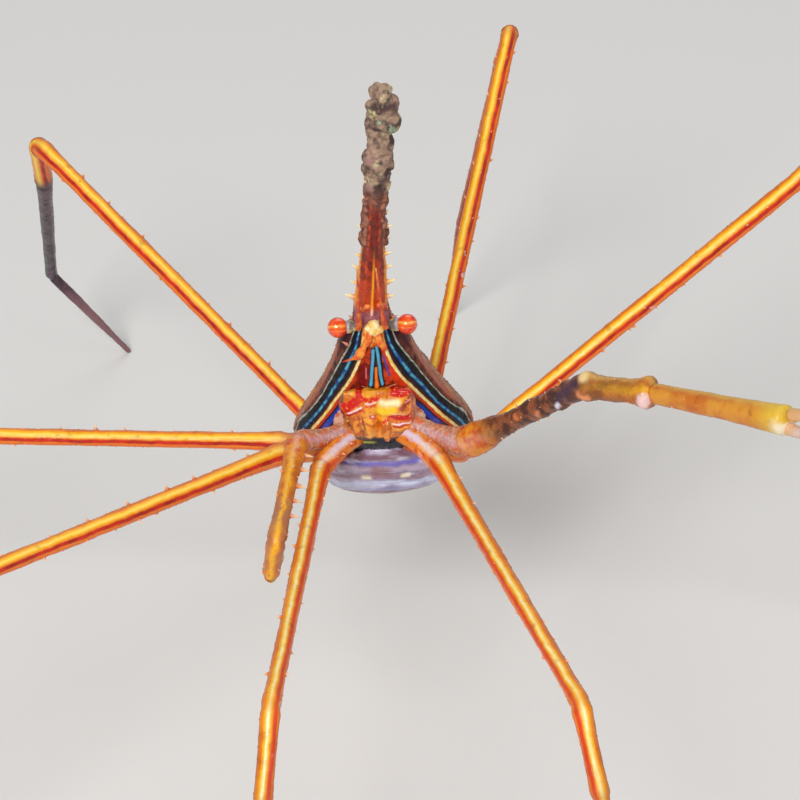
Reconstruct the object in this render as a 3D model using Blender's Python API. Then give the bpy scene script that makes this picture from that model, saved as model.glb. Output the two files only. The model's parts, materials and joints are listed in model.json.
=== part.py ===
"""A standing arrow crab at life size, a still model. Metres, +Z up, the face towards -Y.

Sizes in the code are millimetres; solid() turns them into metres. The body has its own
frame: x to the crab's left, back towards its back, fore towards the tip of the rostrum.
"""

import math
import random

import bmesh
import bpy
from mathutils import Matrix, Vector

MM = 0.001
GAP = 0.3
# A grown copy is this much larger all round, so that sloping faces still keep the gap.
GROWTH = 0.36

# Body
BODY_HEIGHT = 31.0
LEAN = math.radians(7.0)
ROLL = math.radians(-3.6)
# Each station: fore, half width, level of the widest line, top, bottom
CARAPACE = (
    (-7.0, 2.4, 4.9, 5.4, 4.4),
    (-6.1, 4.5, 4.6, 6.4, 3.3),
    (-4.0, 6.7, 3.7, 7.5, 1.3),
    (-1.0, 7.9, 2.2, 8.1, -0.8),
    (2.2, 6.7, 1.2, 7.6, -2.3),
    (5.8, 4.9, 0.8, 6.4, -2.7),
    (8.8, 3.7, 0.7, 5.0, -2.4),
    (11.3, 2.95, 0.6, 3.7, -1.8),
    (13.2, 1.8, 0.7, 2.8, -0.9),
    (15.2, 1.4, 1.0, 2.2, 0.0),
)
# Above 1, the sides of the carapace are hollow, above and below its widest line.
CARAPACE_ROOF = 1.45
CARAPACE_FLANK = 1.7
STERNUM = (
    (-6.3, 2.2, 1.6, 2.5, 0.8),
    (-5.2, 3.5, 1.0, 2.4, -0.4),
    (-3.4, 4.0, -0.2, 1.4, -1.6),
    (-1.4, 4.1, -1.0, 0.6, -2.3),
    (0.6, 4.0, -1.6, 0.0, -3.0),
    (3.0, 3.9, -2.3, -0.6, -3.9),
    (5.2, 3.7, -2.5, -1.2, -3.6),
    (6.8, 2.6, -2.4, -1.8, -2.9),
)
ABDOMEN = (
    (-5.2, 3.2, -0.7, 0.0, -1.8),
    (-4.2, 4.6, -1.4, -0.4, -3.0),
    (-2.7, 5.0, -2.1, -1.0, -3.9),
    (-0.9, 4.5, -2.7, -1.8, -4.2),
    (0.8, 3.0, -3.1, -2.5, -4.0),
    (1.9, 1.3, -3.4, -3.1, -3.7),
)
MAXILLIPED = (
    (3.9, 0.9, -3.9, -3.5, -4.3),
    (5.0, 1.25, -3.6, -3.0, -4.3),
    (7.0, 1.42, -3.1, -2.4, -3.9),
    (8.7, 1.35, -2.7, -2.1, -3.3),
)
MAXILLIPED_MIDDLE = 1.6
ROSTRUM_BASE = (0.0, 0.9, 15.2)
ROSTRUM_TIP = (2.4, 1.5, 37.6)
ROSTRUM_WIDTHS = (1.4, 1.02, 0.82, 0.62, 0.4)
ROSTRUM_DEPTH = 0.72
EYE_ROOT = (0.9, 0.3, 12.9)
EYE_END = (3.5, -0.2, 13.3)
EYE_STALK = 0.46
EYE_RADIUS = 0.87
ANTENNA_PATH = ((1.15, -1.9, 12.4), (1.1, -1.5, 13.6), (1.0, -1.0, 14.9), (1.05, -0.85, 20.4))
ANTENNA_RADII = (0.5, 0.6, 0.4, 0.25)

# Limbs. Each article has a heading in degrees, 0 straight ahead and 90 to the crab's left,
# a rise above level in degrees, and a length.
HIP_SUNK = 2.2
# The hips of the last pair bend round the rear edge of the carapace by this much.
LAST_HIP_BOW = 1.5
KNOB = 0.12
SIDES = 10
TOE_RADIUS = 0.3
DACTYL_EXTRA_RISE = 9.0
# Each walking leg: root in the body's frame, hip, merus, carpus, heading and length of the
# propodus, length of the dactyl, and radii at the merus's base and outer end
WALKING_LEGS = {
    "leg_2_right": ((-2.7, -4.0, 2.7), (-29.7, 13.4, 4.8), (-3.9, 13.9, 40.0),
                    (-6.0, -42.0, 7.0), (-8.0, 31.0), 15.5, (0.76, 0.65)),
    "leg_2_left": ((2.6, -4.1, 2.9), (30.5, 16.2, 4.7), (14.5, 12.1, 40.0),
                   (16.0, -42.0, 7.0), (18.0, 31.0), 15.5, (0.78, 0.66)),
    "leg_3_right": ((-3.8, -2.4, 0.7), (-62.5, 19.8, 5.4), (-49.0, 7.4, 40.6),
                    (-50.0, -38.0, 7.0), (-52.0, 30.0), 15.0, (0.80, 0.69)),
    "leg_3_left": ((3.8, -2.4, 0.7), (90.9, -8.2, 3.4), (113.0, 33.0, 38.7),
                   (112.0, -58.0, 7.0), (110.0, 34.0), 17.0, (0.74, 0.80)),
    "leg_4_right": ((-4.2, -1.2, -1.6), (-88.3, 27.5, 4.7), (-91.8, -0.1, 41.0),
                    (-92.0, -30.0, 6.5), (-92.0, 27.0), 14.0, (0.72, 0.74)),
    "leg_4_left": ((4.3, -0.5, -1.7), (132.5, -32.3, 4.3), (127.9, 17.9, 44.2),
                   (128.0, -40.0, 7.0), (128.0, 31.0), 15.5, (0.72, 0.68)),
    "leg_5_left": ((3.4, 0.8, -4.6), (-178.2, -24.1, 8.9), (164.8, 36.5, 40.5),
                   (194.0, -62.0, 6.5), (196.6, 29.0), 15.5, (0.76, 0.72)),
}
# This leg's last two articles turn back towards the body, so its dactyl has its own heading.
LEG_5_RIGHT = ((-3.4, 0.8, -4.6), (-168.2, -21.1, 8.2), (-131.6, 23.0, 40.5),
               (-176.6, -64.4, 7.0), (-171.4, -56.5, 24.8), (111.1, 14.5), (0.78, 0.80))
# Each cheliped: root, hip, merus, carpus, palm, fingers, and radii at the merus's ends,
# the carpus's end and the palm's end
CHELIPEDS = {
    "cheliped_left": ((4.0, -4.2, 5.3), (49.7, 4.1, 4.5), (48.4, 45.6, 17.0),
                      (53.6, 19.2, 7.0), (46.2, 18.4, 13.5), (35.0, 24.0, 8.0),
                      (0.80, 0.92, 0.98, 1.10)),
    "cheliped_right": ((-4.0, -4.2, 5.3), (-46.8, 12.3, 4.0), (-4.6, 7.1, 15.2),
                       (-143.4, -77.5, 4.5), (-179.3, -32.9, 11.5), (177.7, -27.8, 8.0),
                       (0.68, 0.74, 0.64, 0.70)),
}

# Spines: base radius, and how far each stands out of the surface
SPINE_RADIUS = 0.25
LEG_SPINE = 0.5
LEG_SPINE_SPACING = 3.9
LEG_SPINE_TILT = 0.9
CLAW_SPINE = 0.45
INNER_SPINE = 1.15
# Pairs along the rostrum: place of the first, spacing, and reach of the first and last
ROSTRUM_PAIRS = 8
ROSTRUM_FIRST = 15.9
ROSTRUM_SPACING = 1.72
ROSTRUM_REACH = (0.85, 0.55)
# Spines round the orbit: root and tip on the crab's left side, in the body's frame
ORBIT_SPINES = (
    ((1.2, 0.9, 13.7), (2.75, 0.9, 14.75)),
    ((2.3, 0.6, 11.7), (3.45, 0.3, 12.25)),
)
ANTENNA_SPINE = ((1.35, -1.9, 12.3), (2.75, -2.0, 11.9))
# Crust on the rostrum: place along the body, offset to the side, radius
CRUST = (
    (27.4, -0.35, 0.72), (28.9, 0.1, 0.9), (30.4, -0.3, 0.95), (32.0, 0.25, 1.0),
    (33.4, -0.3, 0.8), (34.2, 0.7, 1.1), (35.8, 0.6, 0.95), (36.9, 0.1, 0.7),
)
PALP = ((1.5, -3.6, 7.4), (1.2, -4.5, 6.6), (0.95, -4.8, 5.0), (0.9, -4.6, 3.3))
PALP_RADII = (0.4, 0.42, 0.36, 0.2)

BODY = (
    Matrix.Translation((0, 0, BODY_HEIGHT))
    @ Matrix.Rotation(ROLL, 4, "Y")
    @ Matrix.Rotation(LEAN, 4, "X")
)


def clear_scene():
    for obj in list(bpy.data.objects):
        bpy.data.objects.remove(obj, do_unlink=True)


def body_point(x, back, fore):
    return BODY @ Vector((x, back, fore))


def direction(heading, rise):
    heading = math.radians(heading)
    rise = math.radians(rise)
    level = math.cos(rise)
    return Vector((level * math.sin(heading), -level * math.cos(heading), math.sin(rise)))


def cone(root, tip, radius):
    """A four-sided spine, closed at its root."""
    axis = (tip - root).normalized()
    side = axis.orthogonal().normalized()
    other = axis.cross(side)
    corners = [side, other, -side, -other]
    points = [(root + corner * radius) * MM for corner in corners] + [tip * MM]
    faces = [(3, 2, 1, 0), (0, 1, 4), (1, 2, 4), (2, 3, 4), (3, 0, 4)]
    mesh = bpy.data.meshes.new("spine")
    mesh.from_pydata(points, [], faces)
    obj = bpy.data.objects.new("spine", mesh)
    PARTS.objects.link(obj)
    return obj


def spine_rows(start, end, radii, rows, spacing, reach, tilt, draw):
    """Spines in rows along an article. Each row is a direction square to the article."""
    axis = (end - start).normalized()
    length = (end - start).length
    made = []
    for order, row in enumerate(rows):
        out = (row - axis * row.dot(axis)).normalized()
        place = spacing * (0.55 + 0.5 * (order % 2))
        while place < length - 1.6:
            radius = radii(place / length)
            root = start + axis * place + out * radius * 0.45
            size = reach * draw.uniform(0.75, 1.2)
            tip = start + axis * (place + size * tilt) + out * (radius + size)
            made.append(cone(root, tip, SPINE_RADIUS))
            place += spacing * draw.uniform(0.85, 1.2)
    return made


def along(stations, place):
    """The stations' values at one place, on a smooth curve through them."""
    last = len(stations) - 1
    k = 0
    while k < last - 1 and place > stations[k + 1][0]:
        k += 1
    here = stations[k]
    there = stations[k + 1]
    span = there[0] - here[0]
    t = min(max((place - here[0]) / span, 0.0), 1.0)
    before = stations[max(k - 1, 0)]
    after = stations[min(k + 2, last)]
    values = []
    for i in range(1, len(here)):
        slope_in = (there[i] - before[i]) / (there[0] - before[0]) * span
        slope_out = (after[i] - here[i]) / (after[0] - here[0]) * span
        values.append(
            here[i] * (2 * t**3 - 3 * t**2 + 1)
            + slope_in * (t**3 - 2 * t**2 + t)
            + there[i] * (3 * t**2 - 2 * t**3)
            + slope_out * (t**3 - t**2)
        )
    return values


def solid(name, rings):
    """One closed object through rings of equal length, with its two ends filled."""
    count = len(rings[0])
    points = [point * MM for ring in rings for point in ring]
    faces = []
    for row in range(len(rings) - 1):
        for k in range(count):
            a = row * count + k
            b = row * count + (k + 1) % count
            faces.append((a, b, b + count, a + count))
    last = (len(rings) - 1) * count
    faces.append(tuple(reversed(range(count))))
    faces.append(tuple(range(last, last + count)))
    mesh = bpy.data.meshes.new(name)
    mesh.from_pydata(points, [], faces)
    shape = bmesh.new()
    shape.from_mesh(mesh)
    bmesh.ops.recalc_face_normals(shape, faces=shape.faces)
    shape.to_mesh(mesh)
    shape.free()
    obj = bpy.data.objects.new(name, mesh)
    PARTS.objects.link(obj)
    return obj


def body_loft(name, stations, count, sides, grow=0.0, middle=0.0, roof=1.0, flank=1.0):
    """A solid along the body through its stations. roof and flank above 1 hollow its sides."""
    first = stations[0][0]
    last = stations[-1][0]
    rings = []
    for row in range(count + 1):
        place = first + (last - first) * row / count
        width, level, top, bottom = along(stations, place)
        width += grow
        top += grow
        bottom -= grow
        if row == 0:
            place -= grow
        if row == count:
            place += grow
        ring = []
        for k in range(sides):
            turn = 2 * math.pi * k / sides
            across = math.cos(turn)
            up = math.sin(turn)
            power = flank if up < 0 else roof
            x = middle + width * math.copysign(abs(across) ** power, across)
            back = level + (top - level if up > 0 else level - bottom) * up
            ring.append(body_point(x, back, place))
        rings.append(ring)
    return solid(name, rings)


def tube(name, start, end, start_normal, end_normal, radii, count, sides=SIDES, bow=None):
    """A round article from start to end, cut off in two planes through those points."""
    axis = (end - start).normalized()
    side = axis.orthogonal().normalized()
    other = axis.cross(side)
    length = (end - start).length
    rings = [[] for _ in range(count + 1)]
    for k in range(sides):
        turn = 2 * math.pi * k / sides
        out = side * math.cos(turn) + other * math.sin(turn)
        near = -radii(0.0) * out.dot(start_normal) / axis.dot(start_normal)
        far = length - radii(1.0) * out.dot(end_normal) / axis.dot(end_normal)
        for row in range(count + 1):
            part = row / count
            point = start + axis * (near + (far - near) * part) + out * radii(part)
            if bow is not None:
                point = point + bow * (4 * part * (1 - part))
            rings[row].append(point)
    return solid(name, rings)


def taper(base, outer, length, knob=KNOB, reach=1.6):
    """Radius along an article: straight between its ends, a little thicker at both."""

    def radius(part):
        near = math.exp(-((part * length / reach) ** 2))
        far = math.exp(-(((1 - part) * length / reach) ** 2))
        return (base + (outer - base) * part) * (1 + knob * (near + far))

    return radius


def joint_normals(points, last_normal):
    """The plane of each joint, halfway between the directions of its two articles."""
    axes = [(b - a).normalized() for a, b in zip(points, points[1:])]
    normals = [axes[0]]
    for before, after in zip(axes, axes[1:]):
        normals.append((before + after).normalized())
    normals.append(last_normal or axes[-1])
    return normals


def chain(names, points, radii, counts, last_normal=None, bows=None):
    """The articles of a limb, each one cut off half a gap before and after its joints."""
    normals = joint_normals(points, last_normal)
    last = len(names) - 1
    made = []
    for k, name in enumerate(names):
        start = points[k] + (normals[k] * (GAP / 2) if k else Vector())
        end = points[k + 1]
        if k < last:
            end = end - normals[k + 1] * (GAP / 2)
        bow = bows[k] if bows else None
        made.append(
            tube(name, start, end, normals[k], normals[k + 1], radii[k], counts[k], bow=bow)
        )
    return made


def landing_rise(height, propodus, dactyl):
    """The propodus's fall in degrees for which the dactyl ends on the floor."""
    low = 0.0
    high = 90.0 - DACTYL_EXTRA_RISE
    for _ in range(50):
        fall = (low + high) / 2
        drop = propodus * math.sin(math.radians(fall))
        drop += dactyl * math.sin(math.radians(fall + DACTYL_EXTRA_RISE))
        if drop < height:
            low = fall
        else:
            high = fall
    return low


def leg_radii(base, outer, lengths):
    hip, merus, carpus, propodus, dactyl = lengths
    return (
        taper(base * 1.18, base * 1.08, hip),
        taper(base, outer, merus, knob=0.16),
        taper(outer * 1.08, outer, carpus),
        taper(outer * 0.92, outer * 0.72, propodus),
        taper(outer * 0.72, TOE_RADIUS, dactyl, knob=0.0),
    )


def walking_leg(name, root, hip, merus, carpus, propodus, dactyl, radii):
    """Hip, merus, carpus, propodus and dactyl, the last ending flat on the floor."""
    points = [body_point(*root)]
    for heading, rise, length in (hip, merus, carpus):
        points.append(points[-1] + direction(heading, rise) * length)
    if len(propodus) == 3:
        heading, rise, propodus_length = propodus
        points.append(points[-1] + direction(heading, rise) * propodus_length)
        heading, dactyl_length = dactyl
        rise = -math.degrees(math.asin(points[-1].z / dactyl_length))
        points.append(points[-1] + direction(heading, rise) * dactyl_length)
    else:
        heading, propodus_length = propodus
        dactyl_length = dactyl
        fall = landing_rise(points[-1].z, propodus_length, dactyl_length)
        points.append(points[-1] + direction(heading, -fall) * propodus_length)
        fall += DACTYL_EXTRA_RISE
        points.append(points[-1] + direction(heading, -fall) * dactyl_length)
    points[-1].z = 0.0
    lengths = (hip[2], merus[2], carpus[2], propodus_length, dactyl_length)
    print(name, "stands at", [round(value, 1) for value in points[-1]])
    points[0] -= (points[1] - points[0]).normalized() * HIP_SUNK
    articles = ("hip", "merus", "carpus", "propodus", "dactyl")
    names = [name + "_" + article for article in articles]
    counts = (6 if name.startswith("leg_5") else 3, 9, 4, 6, 6)
    bows = [None] * len(names)
    if name.startswith("leg_5"):
        bows[0] = BODY.to_3x3() @ Vector((0, 0, -LAST_HIP_BOW))
    radii = leg_radii(*radii, lengths)
    made = chain(names, points, radii, counts, Vector((0, 0, -1)), bows)
    draw = random.Random(name)
    start, end = points[1:3]
    up = Vector((0, 0, 1))
    across = (end - start).cross(up).normalized()
    rows = (up + across * 0.5, across * -1 + up * 0.2)
    spines = spine_rows(
        start, end, radii[1], rows, LEG_SPINE_SPACING, LEG_SPINE, LEG_SPINE_TILT, draw
    )
    join(made[1], spines)
    return made


def cheliped(name, root, hip, merus, carpus, palm, fingers, radii):
    """Hip, merus, carpus, palm with its fixed finger, and the movable finger beside it."""
    points = [body_point(*root)]
    for heading, rise, length in (hip, merus, carpus, palm):
        points.append(points[-1] + direction(heading, rise) * length)
    points[0] -= (points[1] - points[0]).normalized() * HIP_SUNK
    base, outer, wrist, knuckle = radii
    profiles = (
        taper(base * 1.1, base * 1.05, hip[2]),
        taper(base, outer, merus[2]),
        taper(outer, wrist, carpus[2]),
        taper(wrist * 0.92, knuckle, palm[2], knob=0.05),
    )
    articles = ("hip", "merus", "carpus", "palm")
    names = [name + "_" + article for article in articles]
    axis = direction(palm[0], palm[1])
    made = chain(names, points, profiles, (5, 8, 5, 7), axis)
    finger = direction(fingers[0], fingers[1])
    side = Vector((0, 0, 1)).cross(axis).normalized()
    lift = axis.cross(side)
    half = knuckle * 0.5
    slim = knuckle * 0.46

    def thinning(part):
        return slim * (1 - 0.62 * part**1.5)

    root_in = points[4] - axis * 1.5 - lift * half
    tip = points[4] + finger * fingers[2] - lift * half * 0.5
    fixed = tube(name + "_fixed", root_in, tip, axis, finger, thinning, 6, bow=lift * -0.35)
    join(made[3], [fixed])
    start = points[4] + axis * GAP + lift * (half + 0.06)
    tip = points[4] + finger * fingers[2] + lift * (half * 0.5 + 0.2)
    tube(name + "_dactyl", start, tip, axis, finger, thinning, 6, bow=lift * 0.35)
    draw = random.Random(name)
    up = Vector((0, 0, 1))
    for order in (1, 2, 3):
        first, last = points[order : order + 2]
        across = (last - first).cross(up).normalized()
        rows = [up, across - up * 0.3, -across - up * 0.3]
        spines = spine_rows(
            first, last, profiles[order], rows, 3.1, CLAW_SPINE, LEG_SPINE_TILT, draw
        )
        if order == 1 and root[0] < 0:
            inner = [Vector((1, 0, 0.1))]
            spines += spine_rows(
                first, last, profiles[order], inner, 2.3, INNER_SPINE, 0.35, draw
            )
        join(made[order], spines)
        keep_largest(made[order])


def evaluated_copy(obj):
    graph = bpy.context.evaluated_depsgraph_get()
    return bpy.data.meshes.new_from_object(obj.evaluated_get(graph))


def boolean(obj, others, operation, solver="EXACT"):
    """Joins the others to obj or cuts them from it, then removes them."""
    tools = bpy.data.collections.new("tools")
    bpy.context.scene.collection.children.link(tools)
    tools.hide_render = True
    for other in others:
        for home in list(other.users_collection):
            home.objects.unlink(other)
        tools.objects.link(other)
        other.display_type = "WIRE"
    modifier = obj.modifiers.new("boolean", "BOOLEAN")
    modifier.operation = operation
    modifier.solver = solver
    modifier.operand_type = "COLLECTION"
    modifier.collection = tools
    mesh = evaluated_copy(obj)
    obj.modifiers.remove(modifier)
    obj.data = mesh
    for other in list(tools.objects):
        bpy.data.objects.remove(other, do_unlink=True)
    bpy.data.collections.remove(tools)


def join(obj, others):
    boolean(obj, others, "UNION")


def cut(obj, others):
    boolean(obj, others, "DIFFERENCE")
    keep_largest(obj)


def keep_largest(obj):
    """Only the largest closed surface of the object stays."""
    shape = bmesh.new()
    shape.from_mesh(obj.data)
    bmesh.ops.remove_doubles(shape, verts=shape.verts, dist=1e-7)
    shape.verts.ensure_lookup_table()
    unseen = set(shape.verts)
    pieces = []
    while unseen:
        seed = unseen.pop()
        piece = {seed}
        edge = [seed]
        while edge:
            for link in edge.pop().link_edges:
                for vert in link.verts:
                    if vert in unseen:
                        unseen.remove(vert)
                        piece.add(vert)
                        edge.append(vert)
        pieces.append(piece)
    pieces.sort(key=spread, reverse=True)
    loose = [vert for piece in pieces[1:] for vert in piece]
    bmesh.ops.delete(shape, geom=loose, context="VERTS")
    shape.to_mesh(obj.data)
    shape.free()


def spread(piece):
    """Diagonal of the box round a set of vertices, squared."""
    total = 0.0
    for axis in range(3):
        values = [vert.co[axis] for vert in piece]
        total += (max(values) - min(values)) ** 2
    return total


def rostrum():
    base = body_point(*ROSTRUM_BASE)
    tip = body_point(*ROSTRUM_TIP)
    axis = (tip - base).normalized()
    across = (BODY.to_3x3() @ Vector((1, 0, 0))).normalized()
    back = axis.cross(across).normalized()
    rows = 20
    sides = 14
    rings = []
    for row in range(rows + 1):
        part = row / rows
        place = part * (len(ROSTRUM_WIDTHS) - 1)
        k = min(int(place), len(ROSTRUM_WIDTHS) - 2)
        width = ROSTRUM_WIDTHS[k] + (ROSTRUM_WIDTHS[k + 1] - ROSTRUM_WIDTHS[k]) * (place - k)
        if row == rows:
            width *= 0.5
        centre = base + axis * (GAP + (tip - base).length * part)
        ring = []
        for k in range(sides):
            turn = 2 * math.pi * k / sides
            ring.append(
                centre + across * width * math.cos(turn)
                + back * width * ROSTRUM_DEPTH * math.sin(turn)
            )
        rings.append(ring)
    node = solid("rostrum", rings)
    pieces = []
    for k in range(ROSTRUM_PAIRS):
        part = (ROSTRUM_FIRST - ROSTRUM_BASE[2] + ROSTRUM_SPACING * k) / (
            ROSTRUM_TIP[2] - ROSTRUM_BASE[2]
        )
        centre = base + (tip - base) * part
        width = 1.4 - 1.0 * part
        share = k / (ROSTRUM_PAIRS - 1)
        reach = ROSTRUM_REACH[0] + (ROSTRUM_REACH[1] - ROSTRUM_REACH[0]) * share
        for side in (-1, 1):
            root = centre + across * side * width * 0.4
            end = centre + across * side * (width + reach) + axis * reach * 0.6
            pieces.append(cone(root, end, SPINE_RADIUS * 1.15))
    for place, offset, radius in CRUST:
        part = (place - ROSTRUM_BASE[2]) / (ROSTRUM_TIP[2] - ROSTRUM_BASE[2])
        centre = base + (tip - base) * part + across * offset
        pieces.append(lump(centre, radius, across, back))
    join(node, pieces)
    return node


def lump(centre, radius, across, back):
    """A low round lump, longer along the rostrum and flatter from front to back."""
    shape = bmesh.new()
    bmesh.ops.create_icosphere(shape, subdivisions=2, radius=radius)
    fore = across.cross(back)
    for vert in shape.verts:
        place = vert.co.copy()
        vert.co = (centre + across * place.x + back * place.y * 0.85 + fore * place.z * 1.15) * MM
    mesh = bpy.data.meshes.new("lump")
    shape.to_mesh(mesh)
    shape.free()
    obj = bpy.data.objects.new("lump", mesh)
    PARTS.objects.link(obj)
    return obj


def turned(name, path, radii, sides=12):
    """A round solid along a path of points, with its own radius at each one."""
    rings = []
    reference = None
    for k, point in enumerate(path):
        before = path[max(k - 1, 0)]
        after = path[min(k + 1, len(path) - 1)]
        axis = (after - before).normalized()
        if reference is None:
            reference = axis.orthogonal()
        side = (reference - axis * reference.dot(axis)).normalized()
        reference = side
        other = axis.cross(side)
        ring = []
        for j in range(sides):
            turn = 2 * math.pi * j / sides
            ring.append(point + (side * math.cos(turn) + other * math.sin(turn)) * radii[k])
        rings.append(ring)
    return solid(name, rings)


def eye(name, side, grow=0.0):
    """A stalk that widens into the round cornea."""
    root = body_point(EYE_ROOT[0] * side, EYE_ROOT[1], EYE_ROOT[2])
    end = body_point(EYE_END[0] * side, EYE_END[1], EYE_END[2])
    axis = (end - root).normalized()
    centre = end - axis * EYE_RADIUS
    path = [root, root + axis * 0.6, centre - axis * EYE_RADIUS * 0.86]
    radii = [EYE_STALK, EYE_STALK, EYE_STALK * 1.1]
    steps = 7
    for k in range(steps + 1):
        turn = math.radians(-45 + (135 - 14) * k / steps)
        path.append(centre + axis * EYE_RADIUS * math.sin(turn))
        radii.append(EYE_RADIUS * math.cos(turn))
    path[0] -= axis * grow
    path[-1] += axis * grow
    return turned(name, path, [radius + grow for radius in radii], sides=14)


def antenna(name, side):
    """A thick base under the eye and a thin flagellum along the rostrum."""
    corners = [body_point(x * side, back, fore) for x, back, fore in ANTENNA_PATH]
    path = []
    radii = []
    for k, (a, b) in enumerate(zip(corners, corners[1:])):
        for j in range(3):
            path.append(a + (b - a) * j / 3)
            radii.append(ANTENNA_RADII[k] + (ANTENNA_RADII[k + 1] - ANTENNA_RADII[k]) * j / 3)
    path.append(corners[-1])
    radii.append(ANTENNA_RADII[-1])
    return turned(name, path, radii, sides=8)


def spine_at(root, tip, side):
    """A spine between two places given for the crab's left side."""
    ends = [body_point(x * side, back, fore) for x, back, fore in (root, tip)]
    return cone(ends[0], ends[1], SPINE_RADIUS * 1.2)


def carapace(name, grow=0.0):
    return body_loft(name, CARAPACE, 20, 28, grow, roof=CARAPACE_ROOF, flank=CARAPACE_FLANK)


def sternum(name, grow=0.0):
    return body_loft(name, STERNUM, 12, 16, grow)


def abdomen(name, grow=0.0):
    return body_loft(name, ABDOMEN, 12, 20, grow)


def maxilliped(name, side, grow=0.0):
    middle = MAXILLIPED_MIDDLE * side
    return body_loft(name, MAXILLIPED, 8, 14, grow, middle=middle)


COLOURS = (
    ("carapace", (0.42, 0.16, 0.06), 0.45),
    ("rostrum", (0.33, 0.10, 0.05), 0.5),
    ("sternum", (0.75, 0.42, 0.24), 0.5),
    ("abdomen", (0.62, 0.56, 0.70), 0.3),
    ("maxilliped", (0.85, 0.45, 0.08), 0.4),
    ("eye", (0.90, 0.20, 0.03), 0.15),
    ("antenna", (0.80, 0.28, 0.06), 0.5),
    ("cheliped", (0.55, 0.26, 0.07), 0.45),
    ("leg", (0.85, 0.40, 0.04), 0.4),
)


def paint(obj):
    """Each node has its own material in the colour of its group."""
    for start, colour, roughness in COLOURS:
        if obj.name.startswith(start):
            break
    material = bpy.data.materials.new(obj.name)
    material.use_nodes = True
    shader = material.node_tree.nodes["Principled BSDF"]
    shader.inputs["Base Color"].default_value = (*colour, 1.0)
    shader.inputs["Roughness"].default_value = roughness
    shader.inputs["Metallic"].default_value = 0.0
    obj.data.materials.clear()
    obj.data.materials.append(material)


def smooth(obj):
    for face in obj.data.polygons:
        face.use_smooth = True


def centre_on_origin(nodes):
    """Moves all the nodes level, so that the origin is under the middle of their box."""
    low = Vector((1e9, 1e9))
    high = Vector((-1e9, -1e9))
    for obj in nodes:
        for vert in obj.data.vertices:
            for axis in range(2):
                low[axis] = min(low[axis], vert.co[axis])
                high[axis] = max(high[axis], vert.co[axis])
    shift = Vector((-(low.x + high.x) / 2, -(low.y + high.y) / 2, 0.0))
    for obj in nodes:
        obj.data.transform(Matrix.Translation(shift))
    print("moved by", [round(value / MM, 2) for value in shift])


clear_scene()
PARTS = bpy.data.collections.new("arrow_crab")
bpy.context.scene.collection.children.link(PARTS)

# Body nodes
carapace_node = carapace("carapace")
sternum_node = sternum("sternum")
abdomen_node = abdomen("abdomen")
maxillipeds = [maxilliped("maxilliped_left", 1), maxilliped("maxilliped_right", -1)]
eyes = [eye("eye_left", 1), eye("eye_right", -1)]
antennae = [antenna("antenna_left", 1), antenna("antenna_right", -1)]
rostrum()


def mouth_copies():
    """Grown copies of both maxillipeds, to cut with."""
    return [maxilliped("cut_mouth", 1, GROWTH), maxilliped("cut_mouth", -1, GROWTH)]


cut(sternum_node, [abdomen("cut_abdomen", GROWTH)] + mouth_copies())
others = [sternum("cut_sternum", GROWTH), abdomen("cut_abdomen", GROWTH)]
others += [eye("cut_eye", 1, GROWTH), eye("cut_eye", -1, GROWTH)]
join(carapace_node, [spine_at(*ends, side) for ends in ORBIT_SPINES for side in (-1, 1)])
cut(carapace_node, others + mouth_copies())
for node, side in zip(maxillipeds, (1, -1)):
    path = [body_point(x * side, back, fore) for x, back, fore in PALP]
    join(node, [turned("palp", path, PALP_RADII, sides=8)])
for node in antennae:
    others = [carapace("cut_carapace", GROWTH)]
    others += mouth_copies()
    others += [eye("cut_eye", 1, GROWTH), eye("cut_eye", -1, GROWTH)]
    cut(node, others)
for node, side in zip(antennae, (1, -1)):
    join(node, [spine_at(*ANTENNA_SPINE, side)])

# Limbs
for name, row in WALKING_LEGS.items():
    walking_leg(name, *row)
walking_leg("leg_5_right", *LEG_5_RIGHT)
for name, row in CHELIPEDS.items():
    cheliped(name, *row)
for name in [*WALKING_LEGS, "leg_5_right", *CHELIPEDS]:
    hip = bpy.data.objects[name + "_hip"]
    others = [sternum("cut_sternum", GROWTH), abdomen("cut_abdomen", GROWTH)]
    others.append(carapace("cut_carapace", GROWTH))
    cut(hip, others + mouth_copies())
    cut(bpy.data.objects[name + "_merus"], [carapace("cut_carapace", GROWTH)])

centre_on_origin(PARTS.objects)
for node in PARTS.objects:
    paint(node)
    smooth(node)
    print(node.name, len(node.data.polygons), "faces")
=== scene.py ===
# %% [markdown]
# # Dressing a life-size arrow crab
# The solids come first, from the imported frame, and stay as they are. This lesson lays the
# finished looks over them: thin striped shells, spines, granules, eyes and light. Every
# size is in millimetres and becomes metres when a mesh is made.

import json
import math
import random

import bmesh
import bpy
import numpy as np
from mathutils import Matrix, Vector, noise

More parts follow.
